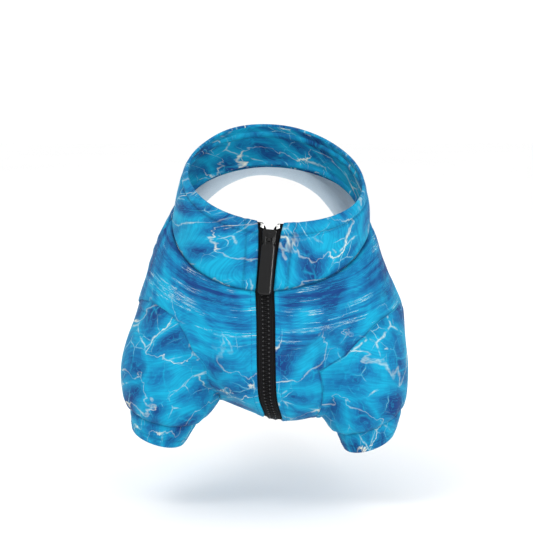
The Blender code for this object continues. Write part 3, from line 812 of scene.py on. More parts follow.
def drawn_out(tree, place, slant, scale):
    """Coordinates turned by a slant in degrees and then stretched."""
    turned = add_node(
        tree, "ShaderNodeMapping", {"Vector": place, "Rotation": (0, 0, math.radians(slant))}
    ).outputs["Vector"]
    return add_node(tree, "ShaderNodeMapping", {"Vector": turned, "Scale": (*scale, 1.0)}).outputs["Vector"]


def near_line(tree, distance, width, sharpness):
    """One on a line, falling to nothing at a width."""
    share = maths(tree, "SUBTRACT", 1.0, maths(tree, "DIVIDE", distance, width), clamp=True)
    return maths(tree, "POWER", share, sharpness)


def cell_edges(tree, place, scale):
    """Distance to the edges of warped cells, which are the web that light draws through water."""
    return add_node(
        tree,
        "ShaderNodeTexVoronoi",
        {"Vector": place, "Scale": scale, "Randomness": 1.0},
        voronoi_dimensions="2D",
        feature="DISTANCE_TO_EDGE",
    ).outputs["Distance"]


def water_web(tree, place):
    """Light broken by water: a wide and a narrow web, white where it is brightest, cyan around it."""
    c = colours()
    bent = bend(tree, place, 2.0, 0.20)
    bent = bend(tree, bent, 7.0, 0.055, 2.0)
    bent = bend(tree, bent, 20.0, 0.022, 3.0)
    wide, narrow = cell_edges(tree, bent, 3.1), cell_edges(tree, bent, 6.7)
    bright = noise_share(tree, place, 3.3, 0.46, 0.62)
    lit = noise_share(tree, place, 5.3, 0.40, 0.60)
    depth = add_node(tree, "ShaderNodeTexNoise", {"Vector": bent, "Scale": 2.6, "Detail": 4.0, "Roughness": 0.6})
    depth = maths(tree, "SUBTRACT", depth.outputs["Fac"], maths(tree, "MULTIPLY", wide, 0.45))
    pools = ramp(
        tree, depth, [(0.26, opaque(c.deep)), (0.40, opaque(c.water)), (0.57, opaque(c.shallow))]
    )
    halo = maths(tree, "MULTIPLY", near_line(tree, wide, 0.26, 2.0), 0.75)
    ring = maths(tree, "MULTIPLY", near_line(tree, narrow, 0.11, 1.6), maths(tree, "MULTIPLY", lit, 0.65))
    wash = maths(tree, "PINGPONG", maths(tree, "MULTIPLY", depth, 15.0), 0.5)
    wash = maths(tree, "MULTIPLY", near_line(tree, wash, 0.16, 1.0), 0.34)
    pools = blend_colours(tree, wash, pools, c.shallow)
    glow = blend_colours(tree, maths(tree, "MAXIMUM", halo, ring), pools, c.shallow)
    width = maths(tree, "MULTIPLY_ADD", bright, 0.022, 0.010)
    broken = noise_share(tree, place, 16.0, 0.36, 0.56)
    core = maths(tree, "MULTIPLY", near_line(tree, wide, width, 0.9), maths(tree, "MULTIPLY", bright, broken))
    strand = add_node(
        tree, "ShaderNodeTexNoise", {"Vector": place, "Scale": 1.9, "Detail": 5.0, "Roughness": 0.48, "Distortion": 0.4}
    ).outputs["Fac"]
    strand = maths(tree, "ABSOLUTE", maths(tree, "SUBTRACT", strand, 0.5))
    strand = near_line(tree, strand, maths(tree, "MULTIPLY_ADD", lit, 0.008, 0.004), 0.9)
    strand = maths(tree, "MULTIPLY", strand, maths(tree, "MULTIPLY_ADD", bright, 0.60, 0.28))
    core = maths(tree, "MAXIMUM", maths(tree, "MULTIPLY", core, 0.48), strand)
    spray = maths(tree, "MULTIPLY", near_line(tree, narrow, 0.022, 1.2), maths(tree, "MULTIPLY", bright, lit))
    spray = maths(tree, "MULTIPLY", spray, 0.5)
    return blend_colours(tree, maths(tree, "MAXIMUM", core, spray), glow, c.glint), bright


def water_streaks(tree, place, slant, bright):
    """The surface seen aslant: long blue ripples with thin cyan crests, a few of them white."""
    c = colours()
    stretched = drawn_out(tree, bend(tree, place, 1.6, 0.09), slant, (0.28, 9.0))
    fine = add_node(
        tree, "ShaderNodeTexNoise", {"Vector": stretched, "Scale": 2.4, "Detail": 6.0, "Roughness": 0.62}
    ).outputs["Fac"]
    broad = add_node(tree, "ShaderNodeTexNoise", {"Vector": place, "Scale": 2.6, "Detail": 3.0}).outputs["Fac"]
    tone = maths(tree, "MULTIPLY_ADD", maths(tree, "SUBTRACT", fine, 0.5), 0.55, broad)
    water = ramp(tree, tone, [(0.38, opaque(c.deep)), (0.51, opaque(c.water)), (0.64, opaque(c.shallow))])
    crests = []
    for level, width in ((0.455, 0.007), (0.515, 0.009), (0.575, 0.008)):
        away = maths(tree, "ABSOLUTE", maths(tree, "SUBTRACT", fine, level))
        crests.append(near_line(tree, away, width, 1.0))
    crest = maths(tree, "MAXIMUM", maths(tree, "MAXIMUM", crests[0], crests[1]), crests[2])
    lined = blend_colours(tree, maths(tree, "MULTIPLY", crest, 0.75), water, c.shallow)
    white = maths(tree, "MULTIPLY", crests[2], maths(tree, "MULTIPLY", bright, 0.8))
    return blend_colours(tree, white, lined, c.glint)


def printed_knit(name, shift=(0.0, 0.0), turn=0.0, streaks=-2.0, slant=STREAK_SLANT):
    """Polyester knit, dye printed and calendered: even colour with a soft sheen, light lines on blue water.

    shift and turn say where on the printed roll the piece was cut, in decimetres and radians. streaks is how
    far down the piece, in decimetres, the long ripples reach before they break into a web of light.
    """
    key = "calendered polyester knit " + name
    if key in bpy.data.materials:
        return bpy.data.materials[key]
    material, tree, shader = new_material(
        key, Roughness=0.62, Sheen_Weight=0.03, Sheen_Roughness=0.45, Specular_IOR_Level=0.09
    )
    uv = add_node(tree, "ShaderNodeUVMap", uv_map="cloth").outputs["UV"]
    place = add_node(
        tree, "ShaderNodeMapping", {"Vector": uv, "Location": (*shift, 0), "Rotation": (0, 0, turn)}
    ).outputs["Vector"]
    web, bright = water_web(tree, place)
    streaked = water_streaks(tree, place, slant, bright)
    down = add_node(tree, "ShaderNodeSeparateXYZ", {"Vector": uv}).outputs["Y"]
    patchy = add_node(tree, "ShaderNodeTexNoise", {"Vector": place, "Scale": 4.0, "Detail": 3.0}).outputs["Fac"]
    edge = maths(tree, "MULTIPLY_ADD", patchy, 1.0, streaks - 0.5)
    share = add_node(
        tree,
        "ShaderNodeMapRange",
        {"Value": maths(tree, "SUBTRACT", down, edge), "From Min": -0.14, "From Max": 0.14},
        clamp=True,
    ).outputs["Result"]
    printed = blend_colours(tree, share, streaked, web)
    stretched = drawn_out(tree, bend(tree, place, 2.4, 0.35), slant, (0.7, 8.5))
    fibre = noise_share(tree, stretched, 8.0, 0.30, 0.66, 4.0)
    shade = ramp(tree, fibre, [(0.0, (0.70, 0.80, 0.86, 1)), (1.0, (1.1, 1.06, 1.04, 1))])
    colour = blend_colours(tree, 1.0, printed, shade, "MULTIPLY")
    # Painted shade: the print darkens toward a dark blue where seams and stitch lines sink, as though shade lay in
    # them.
    painted_crease_shade = add_node(tree, "ShaderNodeAttribute", attribute_name="painted_crease_shade").outputs["Fac"]
    shadow = maths(tree, "MULTIPLY", painted_crease_shade, 0.62, clamp=True)
    colour = blend_colours(tree, shadow, colour, [v * 0.30 for v in colours().deep])
    tree.links.new(colour, shader.inputs["Base Color"])
    tree.links.new(knit_bump(tree, place, 0.25), shader.inputs["Normal"])
    return material


def brushed_inside():
    """The knit's unprinted back, brushed to a short nap: pale, matt and a little uneven."""
    key = "brushed polyester back"
    if key in bpy.data.materials:
        return bpy.data.materials[key]
    material, tree, shader = new_material(key, Roughness=0.9, Sheen_Weight=0.3, Specular_IOR_Level=0.2)
    uv = add_node(tree, "ShaderNodeUVMap", uv_map="cloth").outputs["UV"]
    nap = add_node(tree, "ShaderNodeTexNoise", {"Vector": uv, "Scale": 45.0, "Detail": 5.0, "Roughness": 0.7})
    pale = colours().inside
    colour = ramp(
        tree, nap.outputs["Fac"], [(0.35, opaque([v * 0.82 for v in pale])), (0.65, opaque(pale))]
    )
    bump = add_node(tree, "ShaderNodeBump", {"Strength": 0.5, "Distance": 0.0008, "Height": nap.outputs["Fac"]})
    tree.links.new(colour, shader.inputs["Base Color"])
    tree.links.new(bump.outputs["Normal"], shader.inputs["Normal"])
    return material


def woven_tape():
    """Polyester tape, woven in a herringbone: near black and matt, with fine ridges along the zip."""
    key = "woven polyester tape"
    if key in bpy.data.materials:
        return bpy.data.materials[key]
    material, tree, shader = new_material(key, Roughness=0.8, Sheen_Weight=0.02, Specular_IOR_Level=0.08)
    uv = add_node(tree, "ShaderNodeUVMap", uv_map="cloth").outputs["UV"]
    ribs = add_node(
        tree,
        "ShaderNodeTexWave",
        {"Vector": uv, "Scale": 22.0, "Distortion": 0.6, "Detail": 1.0},
        wave_type="BANDS",
        bands_direction="X",
    )
    twill = add_node(
        tree, "ShaderNodeTexWave", {"Vector": uv, "Scale": 40.0}, wave_type="BANDS", bands_direction="DIAGONAL"
    )
    height = maths(tree, "MULTIPLY_ADD", twill.outputs["Fac"], 0.5, ribs.outputs["Fac"])
    black = colours().black
    colour = ramp(tree, height, [(0.2, opaque([v * 0.6 for v in black])), (1.0, opaque([v * 2.2 for v in black]))])
    bump = add_node(tree, "ShaderNodeBump", {"Strength": 0.6, "Distance": 0.0004, "Height": height})
    tree.links.new(colour, shader.inputs["Base Color"])
    tree.links.new(bump.outputs["Normal"], shader.inputs["Normal"])
    return material


def speckled(name, colour, roughness, metallic, scale, depth, coat=0.0, specular=0.5):
    """A hard finish whose gloss and surface vary a little, as moulding and enamelling leave them."""
    if name in bpy.data.materials:
        return bpy.data.materials[name]
    material, tree, shader = new_material(
        name, Metallic=metallic, Coat_Weight=coat, Coat_Roughness=0.08, Specular_IOR_Level=specular
    )
    place = add_node(tree, "ShaderNodeTexCoord").outputs["Object"]
    noise = add_node(tree, "ShaderNodeTexNoise", {"Vector": place, "Scale": scale, "Detail": 4.0})
    colours_found = ramp(
        tree, noise.outputs["Fac"], [(0.3, opaque([v * 0.8 for v in colour])), (0.7, opaque([v * 1.15 for v in colour]))]
    )
    gloss = add_node(
        tree,
        "ShaderNodeMapRange",
        {"Value": noise.outputs["Fac"], "To Min": roughness * 0.75, "To Max": roughness * 1.3},
    )
    bump = add_node(tree, "ShaderNodeBump", {"Strength": 0.3, "Distance": depth, "Height": noise.outputs["Fac"]})
    tree.links.new(colours_found, shader.inputs["Base Color"])
    tree.links.new(gloss.outputs["Result"], shader.inputs["Roughness"])
    tree.links.new(bump.outputs["Normal"], shader.inputs["Normal"])
    return material


def moulded_acetal():
    """Acetal, injection moulded: satin black teeth with soft highlights."""
    return speckled("moulded acetal", colours().black, 0.40, 0.0, 900.0, 0.00005, specular=0.10)


def glint_painted_acetal():
    """Acetal on the teeth's raised nubs: glossier than the teeth, with its colour painted four times lighter as painted
    highlights, the small grey glints.
    """
    return speckled("rubbed acetal", [v * 4 for v in colours().black], 0.25, 0.0, 900.0, 0.00005, specular=0.5)


def black_enamel():
    """Zinc alloy, die cast and stoved in black enamel: deep gloss with sharp highlights."""
    return speckled("stoved black enamel", colours().black, 0.12, 0.0, 160.0, 0.0009, specular=0.26)


def bright_aluminium():
    """Aluminium, stamped and tumbled: pale and bright with a broken reflection."""
    return speckled("tumbled aluminium", colours().metal, 0.24, 1.0, 700.0, 0.00006)


def sewing_thread():
    """Polyester thread, spun and twisted: a soft line a little apart from the print's blue."""
    return speckled("spun polyester thread", colours().thread, 0.65, 0.0, 1500.0, 0.0001, specular=0.1)


# Pieces


def edge_falloff(distance, width):
    """One at an edge, fading over a width."""
    return np.exp(-((np.clip(distance, 0, None) / width) ** 2))


def sew_edges(cloth, seams, hems, tight=1.0):
    """Draws seams in and lays hems a little proud with a pressed line where they are stitched; the seams and that line
    also get painted shade.
    """
    depth = np.zeros(len(cloth.points))
    for field in seams:
        depth -= 1.1 * MM * tight * edge_falloff(cloth.fields[field], 1.6 * MM)
        depth += 0.35 * MM * bump_line(cloth.fields[field], 4.2 * MM, 2.4 * MM)
        # Painted shade along the seam's valley.
        cloth.paint_crease_shade(tight * edge_falloff(cloth.fields[field], 0.75 * MM))
    for field, width in hems:
        d = cloth.fields[field]
        depth += 0.45 * MM * (1 / (1 + np.exp((d - width) / (0.35 * MM))))
        depth -= 0.35 * MM * bump_line(d, width - 1.2 * MM, 0.8 * MM)
        # Painted shade along the hem's stitched line.
        cloth.paint_crease_shade(0.45 * bump_line(d, width - 1.2 * MM, 0.6 * MM))
    cloth.push(depth)


def armhole_fields(points):
    """For each sleeve: how far points lie outside its crease and its seam, and the sleeve's normals there."""
    s = sizes()
    found = {}
    for name, side in SIDES.items():
        distance, direction = signed_distance(points, sleeve_surface(name), REACH)
        distance = np.where(points[:, 0] * side < 0, REACH, distance)
        height, margin = (np.array(values) for values in zip(*ARMHOLE_SEAMS[name]))
        front = np.interp(points[:, 2] / s.chest_height, height, margin)
        centre = SLEEVE_SECTIONS[name][1][1] * s.chest_reach
        share = np.clip((centre - points[:, 1]) / s.sleeve_width * 2 + 0.3, 0, 1)
        margin = (REAR_MARGIN + (front - REAR_MARGIN) * share**2 * (3 - 2 * share)) * s.sleeve_width
        found["crease_" + name] = distance
        found["seam_" + name] = distance - margin
        found.update({f"turn_{name}_{axis}": direction[:, k] for k, axis in enumerate("xyz")})
    return found


def soften(cloth, name):
    """Rounds the crease along one armhole."""
    ease(cloth, "crease_" + name, np.stack([cloth.fields[f"turn_{name}_{axis}"] for axis in "xyz"], 1))


def body_strip(start, end, columns):
    """A strip of the body as cloth, with its fields, and its flat width and length."""
    grid, normals = body_surface()
    points, turned, spans = band(grid, normals, start, end, columns)
    down = distance_down(points)
    low, high = np.broadcast_to(start, len(grid))[:, None], np.broadcast_to(end, len(grid))[:, None]
    fields = {
        "across": np.abs(spans),
        "down": down,
        "from_start": np.abs(spans - low),
        "from_end": np.abs(high - spans),
        "to_hem": down[-1] - down,
    }
    fields.update(armhole_fields(points.reshape(-1, 3)))
    return Cloth(points, turned, fields), (np.abs(high - low).max(), down[-1].max())


def body_piece(start, end, columns):
    """One panel of the body, cut along the armhole seams."""
    cloth, extent = body_strip(start, end, columns)
    for name in SIDES:
        cloth.keep("seam_" + name)
        soften(cloth, name)
    return cloth, extent


def sleeve_place(cloth, name):
    """Print coordinates of a sleeve: round its axis from the inner side, and down."""
    rows = sleeve_rows(name)[::-1]
    heights = [row["z"] for row in rows]
    z = cloth.points[:, 2]
    x = (cloth.points[:, 0] * SIDES[name] - np.interp(z, heights, [row["x"] for row in rows]))
    y = cloth.points[:, 1] - np.interp(z, heights, [row["y"] for row in rows])
    turn = np.mod(np.arctan2(y, x) - math.pi, 2 * math.pi)
    cloth.girth = math.pi * sizes().sleeve_width
    cloth.fields["across"] = turn / (2 * math.pi) * cloth.girth
    cloth.fields["down"] = heights[-1] - z
    return cloth


def sleeve_head(name):
    """The top of the sleeve, which lies on the body between the crease and the armhole seam."""
    side = SIDES[name]
    girths = np.array([ring_length(ring) for ring in body_surface()[0]])
    cloth, _ = body_strip(side * zip_sizes().window, side * girths / 2 * 0.92, 230)
    cloth.fields["under_seam"] = -cloth.fields["seam_" + name]
    cloth.keep("under_seam").keep("crease_" + name, PAST)
    soften(cloth, name)
    cloth.fields["to_cuff"] = np.full(len(cloth.points), REACH)
    tight = 1.0 if side > 0 else 0.5
    # Painted shade along the armhole seam, half as dark on the wearer's right.
    cloth.paint_crease_shade(tight * edge_falloff(cloth.fields["under_seam"], 0.9 * MM))
    depth = -1.0 * MM * tight * edge_falloff(cloth.fields["under_seam"], 1.8 * MM)
    cloth.push(depth + 0.35 * MM * bump_line(cloth.fields["under_seam"], 4.4 * MM, 2.4 * MM))
    return cloth


def body_wrinkles(cloth, seed):
    """Soft unevenness of cloth over a moving body, stronger by the armholes."""
    across, down = cloth.fields["across"], cloth.fields["down"]
    near = sum(edge_falloff(cloth.fields["crease_" + side], 28 * MM) for side in SIDES)
    broad = ripples(across, down, seed, 0.09) * 1.2 * MM
    tight = ripples(across * 0.6 + down, across, seed + 5, 0.030) * 0.55 * MM * near
    still = 1 - edge_falloff(cloth.fields["from_start"], 12 * MM)
    cloth.push((broad + tight) * still)


class JACKET_OT_body(bpy.types.Operator):
    """Builds the two chest panels and the back panel"""

    bl_idname = "jacket.body"
    bl_label = "Body panels"

    def execute(self, context):
        grid = body_surface()[0]
        girths = np.array([ring_length(ring) for ring in grid])
        seam = girths / 2 * SIDE_SEAM
        half = zip_sizes().window / 2
        s = sizes()
        for name, side, cut, lift in (("left", 1, (1.3, 0.4), 0.9), ("right", -1, (3.1, 0.15), 0.35)):
            cloth, extent = body_piece(side * half, side * (seam - 0.1 * MM), 118)
            body_wrinkles(cloth, 11 if side > 0 else 23)
            sew_edges(cloth, ["down", "from_end"], [("to_hem", 12 * MM)])
            proud = lift * edge_falloff(cloth.fields["seam_" + name], 4 * MM)
            cloth.push((0.5 * edge_falloff(cloth.fields["from_start"], 2.5 * MM) + proud) * MM)
            # Painted shade along the chest panel's edge at the armhole seam.
            cloth.paint_crease_shade(lift * 0.8 * edge_falloff(cloth.fields["seam_" + name], 0.6 * MM))
            outer = printed_knit("chest " + name, shift=cut, streaks=0.52)
            obj = cloth_object("chest_panel_" + name + "_cloth", cloth, s.wall, outer, brushed_inside())
            fit(obj, PRINT_SLOT, "chest_panel_" + name)
            declare(cloth, extent)
        cloth, extent = body_piece(seam + 0.1 * MM, girths - seam - 0.1 * MM, 190)
        body_wrinkles(cloth, 37)
        sew_edges(
            cloth,
            ["down", "from_start", "from_end", "seam_left", "seam_right"],
            [("to_hem", 12 * MM)],
        )
        outer = printed_knit("back", shift=(0.7, 2.2), streaks=0.45)
        obj = cloth_object("back_panel_cloth", cloth, s.wall, outer, brushed_inside())
        fit(obj, PRINT_SLOT, "back_panel")
        declare(cloth, extent)
        return {"FINISHED"}


class JACKET_OT_sleeves(bpy.types.Operator):
    """Builds the two sleeves and their cuffs"""

    bl_idname = "jacket.sleeves"
    bl_label = "Sleeves and cuffs"

    def execute(self, context):
        s = sizes()
        for name, cut in (("left", (5.2, 1.1)), ("right", (6.1, 2.3))):
            grid, normals = sleeve_surface(name)
            distance, direction = signed_distance(grid.reshape(-1, 3), body_surface(), REACH)
            down = distance_down(grid)
            girth = max(ring_length(ring) for ring in grid)
            fields = {"to_cuff": down[-1] - down, "crease_" + name: distance}
            fields.update({f"turn_{name}_{axis}": direction[:, k] for k, axis in enumerate("xyz")})
            cloth = Cloth(grid, normals, fields, girth).keep("crease_" + name, PAST)
            soften(cloth, name)
            # The sleeve itself gets no painted crease shade; the field is made so that it survives the join with the
            # head.
            cloth.paint_crease_shade(0)
            sleeve_place(cloth.join(sleeve_head(name)), name)
            self.wrinkle(cloth, cloth.girth, 3 if name == "left" else 8)
            sew_edges(cloth, ["to_cuff"], [], 0.45)
            outer = printed_knit("sleeve " + name, shift=cut)
            obj = cloth_object("sleeve_" + name + "_cloth", cloth, s.wall, outer, brushed_inside())
            fit(obj, PRINT_SLOT, "sleeve_" + name)
            declare(cloth, (girth, down[-1].max() + s.sleeve_width / 2))
            self.cuff(name, outer)
        return {"FINISHED"}

    @staticmethod
    def wrinkle(cloth, girth, seed):
        """Gathers above the cuff and soft unevenness higher up."""
        turn = cloth.fields["across"] / girth * 2 * math.pi
        up = cloth.fields["to_cuff"]
        random = np.random.default_rng(seed)
        gathers = sum(
            np.sin(turn * count + random.uniform(0, 6.3)) * share
            for count, share in ((9, 0.5), (14, 0.35), (23, 0.25))
        )
        broad = np.sin(turn * 2 + up * 60 + seed) + np.sin(turn * 3 - up * 90 + seed * 2)
        cloth.push(gathers * 0.9 * MM * np.exp(-up / (9 * MM)) * (1 - edge_falloff(up, 1.5 * MM)))
        cloth.push(broad * 0.7 * MM * (1 - edge_falloff(up, 10 * MM)))

    @staticmethod
    def cuff(name, outer):
        """One cuff, with its hem turned up. It is cut from the roll beside the sleeve, so the print runs on."""
        grid, normals = cuff_surface(name)
        down = distance_down(grid)
        girth = max(ring_length(ring) for ring in grid)
        fields = {"from_seam": down, "to_hem": down[-1] - down}
        cloth = sleeve_place(Cloth(grid, normals, fields, girth), name)
        sew_edges(cloth, ["from_seam"], [("to_hem", 7 * MM)], 0.45)
        obj = cloth_object("cuff_" + name + "_cloth", cloth, sizes().wall, outer, brushed_inside())
        fit(obj, PRINT_SLOT, "cuff_" + name)
        declare(cloth, (girth, down[-1].max()))


class JACKET_OT_collar(bpy.types.Operator):
    """Builds the standing collar"""

    bl_idname = "jacket.collar"
    bl_label = "Collar"

    def execute(self, context):
        s, z = sizes(), zip_sizes()
        grid, normals = collar_surface()
        rise = np.array([r["rise"] for r in smooth_rows(table(COLLAR_COLUMNS, COLLAR_ROWS), COLLAR_STEPS)])
        edge = z.window / 2 + z.flare / 2 * rise**3
        girths = np.array([ring_length(ring) for ring in grid])
        points, turned, spans = band(grid, normals, edge, girths - edge, 300)
        up = distance_down(points)
        fields = {
            "across": spans,
            "down": up[-1] - up,
            "up": up,
            "rim": up[-1] - up,
            "from_start": spans - edge[:, None],
            "from_end": (girths - edge)[:, None] - spans,
        }
        cloth = Cloth(points, turned, fields)
        extent = ((girths - 2 * edge).max(), up[-1].max())
        f = cloth.fields
        front = np.minimum(f["from_start"], f["from_end"])
        depth = 0.8 * MM * (1 - edge_falloff(f["rim"], 9 * MM)) * (1 - edge_falloff(f["up"], 9 * MM))
        depth -= 1.1 * MM * edge_falloff(f["up"], 1.6 * MM)
        depth += 0.35 * MM * bump_line(f["up"], 4.2 * MM, 2.4 * MM)
        for field in (f["rim"], front):
            depth -= 1.3 * MM * bump_line(field, 8.5 * MM, 1.3 * MM)
            # Painted shade along the stitch lines of the rim and the front edges.
            cloth.paint_crease_shade(0.55 * bump_line(field, 8.5 * MM, 0.75 * MM))
            depth += 0.45 * MM * bump_line(field, 4.5 * MM, 2.6 * MM)
        depth += 0.4 * MM * edge_falloff(front, 2.5 * MM)
        # Painted shade along the collar's seam to the body.
        cloth.paint_crease_shade(edge_falloff(f["up"], 0.8 * MM))
        depth += ripples(f["across"], f["up"] * 2.2, 51, 0.10) * 0.9 * MM * (1 - edge_falloff(front, 10 * MM))
        cloth.push(depth)
        outer = printed_knit("collar", shift=(2.9, 7.7), streaks=0.0, slant=-52.0)
        obj = cloth_object("collar_cloth", cloth, s.collar_wall, outer, printed_knit("collar facing", (1.5, 8.0)))
        fit(obj, PRINT_SLOT, "collar")
        declare(cloth, extent)
        return {"FINISHED"}


# Zip


class ZipLine:
    """The line that the zip follows, from the collar's rim down the chest and under the belly."""

    def __init__(self):
        collar, body = collar_surface(), body_surface()
        self.rings = np.concatenate([collar[0][::-1], body[0][1:]])
        self.normals = np.concatenate([collar[1][::-1], body[1][1:]])
        self.line = self.rings[:, 0]
        steps = np.linalg.norm(np.diff(self.line, axis=0), axis=1)
        self.distance = np.concatenate([[0], np.cumsum(steps)])
        self.length = self.distance[-1]
        self.seam = self.distance[len(collar[0]) - 1]
        self.side = unit(self.rings[:, 1] - self.rings[:, -1])

    def read(self, values, distance):
        """Values of the rows at distances from the rim."""
        return np.stack([np.interp(distance, self.distance, values[:, k]) for k in range(3)], axis=-1)

    def at(self, distance):
        """Places, directions down the zip, outward normals and sideways directions."""
        slope = np.gradient(self.line, self.distance, axis=0)
        normal = unit(self.read(self.normals[:, 0], distance))
        down = self.read(slope, distance)
        down = unit(down - normal * (down * normal).sum(axis=-1, keepdims=True))
        return self.read(self.line, distance), down, normal, unit(self.read(self.side, distance))


def tape_edge(rise):
    """The tape's inner edge from the zip's middle: they part above the slider, towards the rim."""
    return 0.15 * MM + zip_sizes().tape_spread * np.clip(rise, 0, 1) ** 8


class JACKET_OT_tapes(bpy.types.Operator):
    """Builds the zip's two woven tapes"""

    bl_idname = "jacket.tapes"
    bl_label = "Zip tapes"

    def execute(self, context):
        z = zip_sizes()
        line = ZipLine()
        inner = tape_edge(1 - line.distance / line.seam)
        for name, side in SIDES.items():
            start, end = side * inner, side * (inner + z.tape_width)
            points, normals, spans = band(line.rings, line.normals, start, end, 14)
            down = distance_down(points)
            fields = {"across": np.abs(spans), "down": down}
            cloth = Cloth(points - normals * z.tape_depth, normals, fields)
            bead = bump_line(cloth.fields["across"], 3.6 * MM, 0.5 * MM)
            inside = 1 / (1 + np.exp((cloth.fields["across"] - z.window / 2 + 1.0 * MM) / (0.3 * MM)))
            below = 1 / (1 + np.exp((z.slider_drop + z.slider_length - cloth.fields["down"]) / (1.0 * MM)))
            cloth.push(0.35 * MM * bead + (z.tape_depth - 0.6 * MM) * inside * below)
            obj = cloth_object("zip_tape_" + name + "_woven", cloth, 0.8 * MM, woven_tape(), woven_tape())
            fit(obj, "zip_tape", "zip_tape_" + name)
            declare(cloth, (z.tape_width, down[-1].max()))
        return {"FINISHED"}


def rounded_box(size, bevel, segments=2):
    """Points and faces of a box with rounded edges, about its middle."""
    work = bmesh.new()
    bmesh.ops.create_cube(work, size=1)
    bmesh.ops.scale(work, verts=work.verts, vec=size)
    bmesh.ops.bevel(
        work, geom=list(work.edges), offset=bevel, segments=segments, profile=0.5, affect="EDGES", clamp_overlap=True
    )
    return take_arrays(work)


def take_arrays(work):
    """The points and triangles of a bmesh, which is then freed."""
    bmesh.ops.triangulate(work, faces=work.faces)
    bmesh.ops.recalc_face_normals(work, faces=work.faces)
    points = np.array([vertex.co for vertex in work.verts])
    faces = np.array([[vertex.index for vertex in face.verts] for face in work.faces])
    work.free()
    return points, faces


def repeat(points, faces, places, bases):
    """Copies of a shape at places, each turned to its own three directions, as one set of arrays."""
    turned = np.einsum("vk,nkc->nvc", points, bases) + places[:, None]
    lift = np.arange(len(places))[:, None, None] * len(points)
    return turned.reshape(-1, 3), (faces[None] + lift).reshape(-1, 3)


class JACKET_OT_teeth(bpy.types.Operator):
    """Builds the closed teeth and the bottom stop"""

    bl_idname = "jacket.teeth"
    bl_label = "Zip teeth"

    def execute(self, context):
        z = zip_sizes()
        line = ZipLine()
        start = z.slider_drop + z.slider_length * 0.5
        stop_low = line.length - 7.2 * MM
        pitch = z.tooth_pitch
        head = rounded_box((z.chain_width * 0.62, pitch * 0.40, 1.9 * MM), 0.35 * MM)
        root = rounded_box((z.chain_width * 0.34, pitch * 0.62, 1.5 * MM), 0.3 * MM)
        nub = rounded_box((1.0 * MM, pitch * 0.36, 0.8 * MM), 0.3 * MM)
        parts, nubs = [], []
        for side in (1, -1):
            distances = np.arange(start + (pitch / 2 if side < 0 else 0), stop_low, pitch)
            place, down, normal, across = line.at(distances)
            bases = np.stack([across * side, down, normal], axis=1)
            for shape, out in ((head, z.chain_width * 0.19), (root, z.chain_width * 0.36)):
                centre = place + across * side * out - normal * 0.9 * MM
                parts.append(repeat(*shape, centre, bases))
            nubs.append(repeat(*nub, place + across * side * z.chain_width * 0.36 - normal * 0.05 * MM, bases))
        obj = joined("zip_teeth_moulded", parts, moulded_acetal())
        fit(obj, "zip_teeth", "zip_chain")
        # The nubs carry painted highlights: a lighter grey than the teeth, with a glossier finish.
        fit(joined("zip_teeth_tips", nubs, glint_painted_acetal()), "zip_teeth")
        place, down, normal, across = line.at(np.array([stop_low + 4.0 * MM]))
        box = rounded_box((z.chain_width * 1.05, 4.2 * MM, 2.2 * MM), 0.5 * MM, 3)
        stop = repeat(*box, place - normal * 1.2 * MM, np.stack([across, down, normal], axis=1))
        obj = joined("bottom_stop_moulded", [stop], moulded_acetal())
        fit(obj, "zip_teeth", "bottom_stop")
        return {"FINISHED"}


def joined(name, parts, material):
    """One object from several sets of arrays."""
    lift = np.cumsum([0] + [len(points) for points, _ in parts])
    points = np.concatenate([points for points, _ in parts])
    faces = np.concatenate([faces + base for (_, faces), base in zip(parts, lift)])
    obj = mesh_object(name, points, faces, material)
    obj.data.set_sharp_from_angle(angle=math.radians(60))
    return obj


def plate(outline, low, high, bevel, segments=2):
    """A flat plate of an outline, with rounded edges."""
    work = bmesh.new()
    face = work.faces.new([work.verts.new((x, y, low)) for x, y in outline])
    top = bmesh.ops.extrude_face_region(work, geom=[face])
    moved = [item for item in top["geom"] if isinstance(item, bmesh.types.BMVert)]
    bmesh.ops.translate(work, verts=moved, vec=(0, 0, high - low))
    bmesh.ops.recalc_face_normals(work, faces=work.faces)
    rims = [edge for edge in work.edges if abs(edge.verts[0].co.z - edge.verts[1].co.z) < 1e-7]
    bmesh.ops.bevel(
        work, geom=rims, offset=bevel, segments=segments, profile=0.5, affect="EDGES", clamp_overlap=True
    )
    return take_arrays(work)


def rounded_outline(width_low, width_high, y_low, y_high, corner, steps=6):
    """A four-sided outline with rounded corners, wider at one end if wanted."""
    corners = (
        (width_high / 2 - corner, y_high - corner, 0),
        (corner - width_high / 2, y_high - corner, 90),
        (corner - width_low / 2, y_low + corner, 180),
        (width_low / 2 - corner, y_low + corner, 270),
    )
    return [
        (
            x + corner * math.cos(math.radians(turn + 90 * k / steps)),
            y + corner * math.sin(math.radians(turn + 90 * k / steps)),
        )
        for x, y, turn in corners
        for k in range(steps + 1)
    ]


def place_arrays(parts, matrix):
    """Sets of arrays moved by a matrix."""
    turn = np.array(matrix)
    return [(points @ turn[:3, :3].T + turn[:3, 3], faces) for points, faces in parts]


def slider_matrix():
    """X across, Y up along the zip and Z away from the chest, about the slider's middle."""
    z = zip_sizes()
    line = ZipLine()
    place, down, normal, _ = (part[0] for part in line.at(np.array([z.slider_drop + z.slider_length / 2])))
    up = -down
    across = np.cross(up, normal)
    matrix = Matrix.Identity(4)
    for column, axis in enumerate((across, up, normal)):
        for row in range(3):
            matrix[row][column] = axis[row]
    matrix.translation = Vector(place)
    return matrix


def pin_height():
    """How far the pull's pin stands off the cloth's face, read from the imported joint."""
    joint = next(j for j in frame["joints"] if j["child"] == PULL_BODY)
    return (slider_matrix().inverted() @ Vector(joint["pos_m"])).z


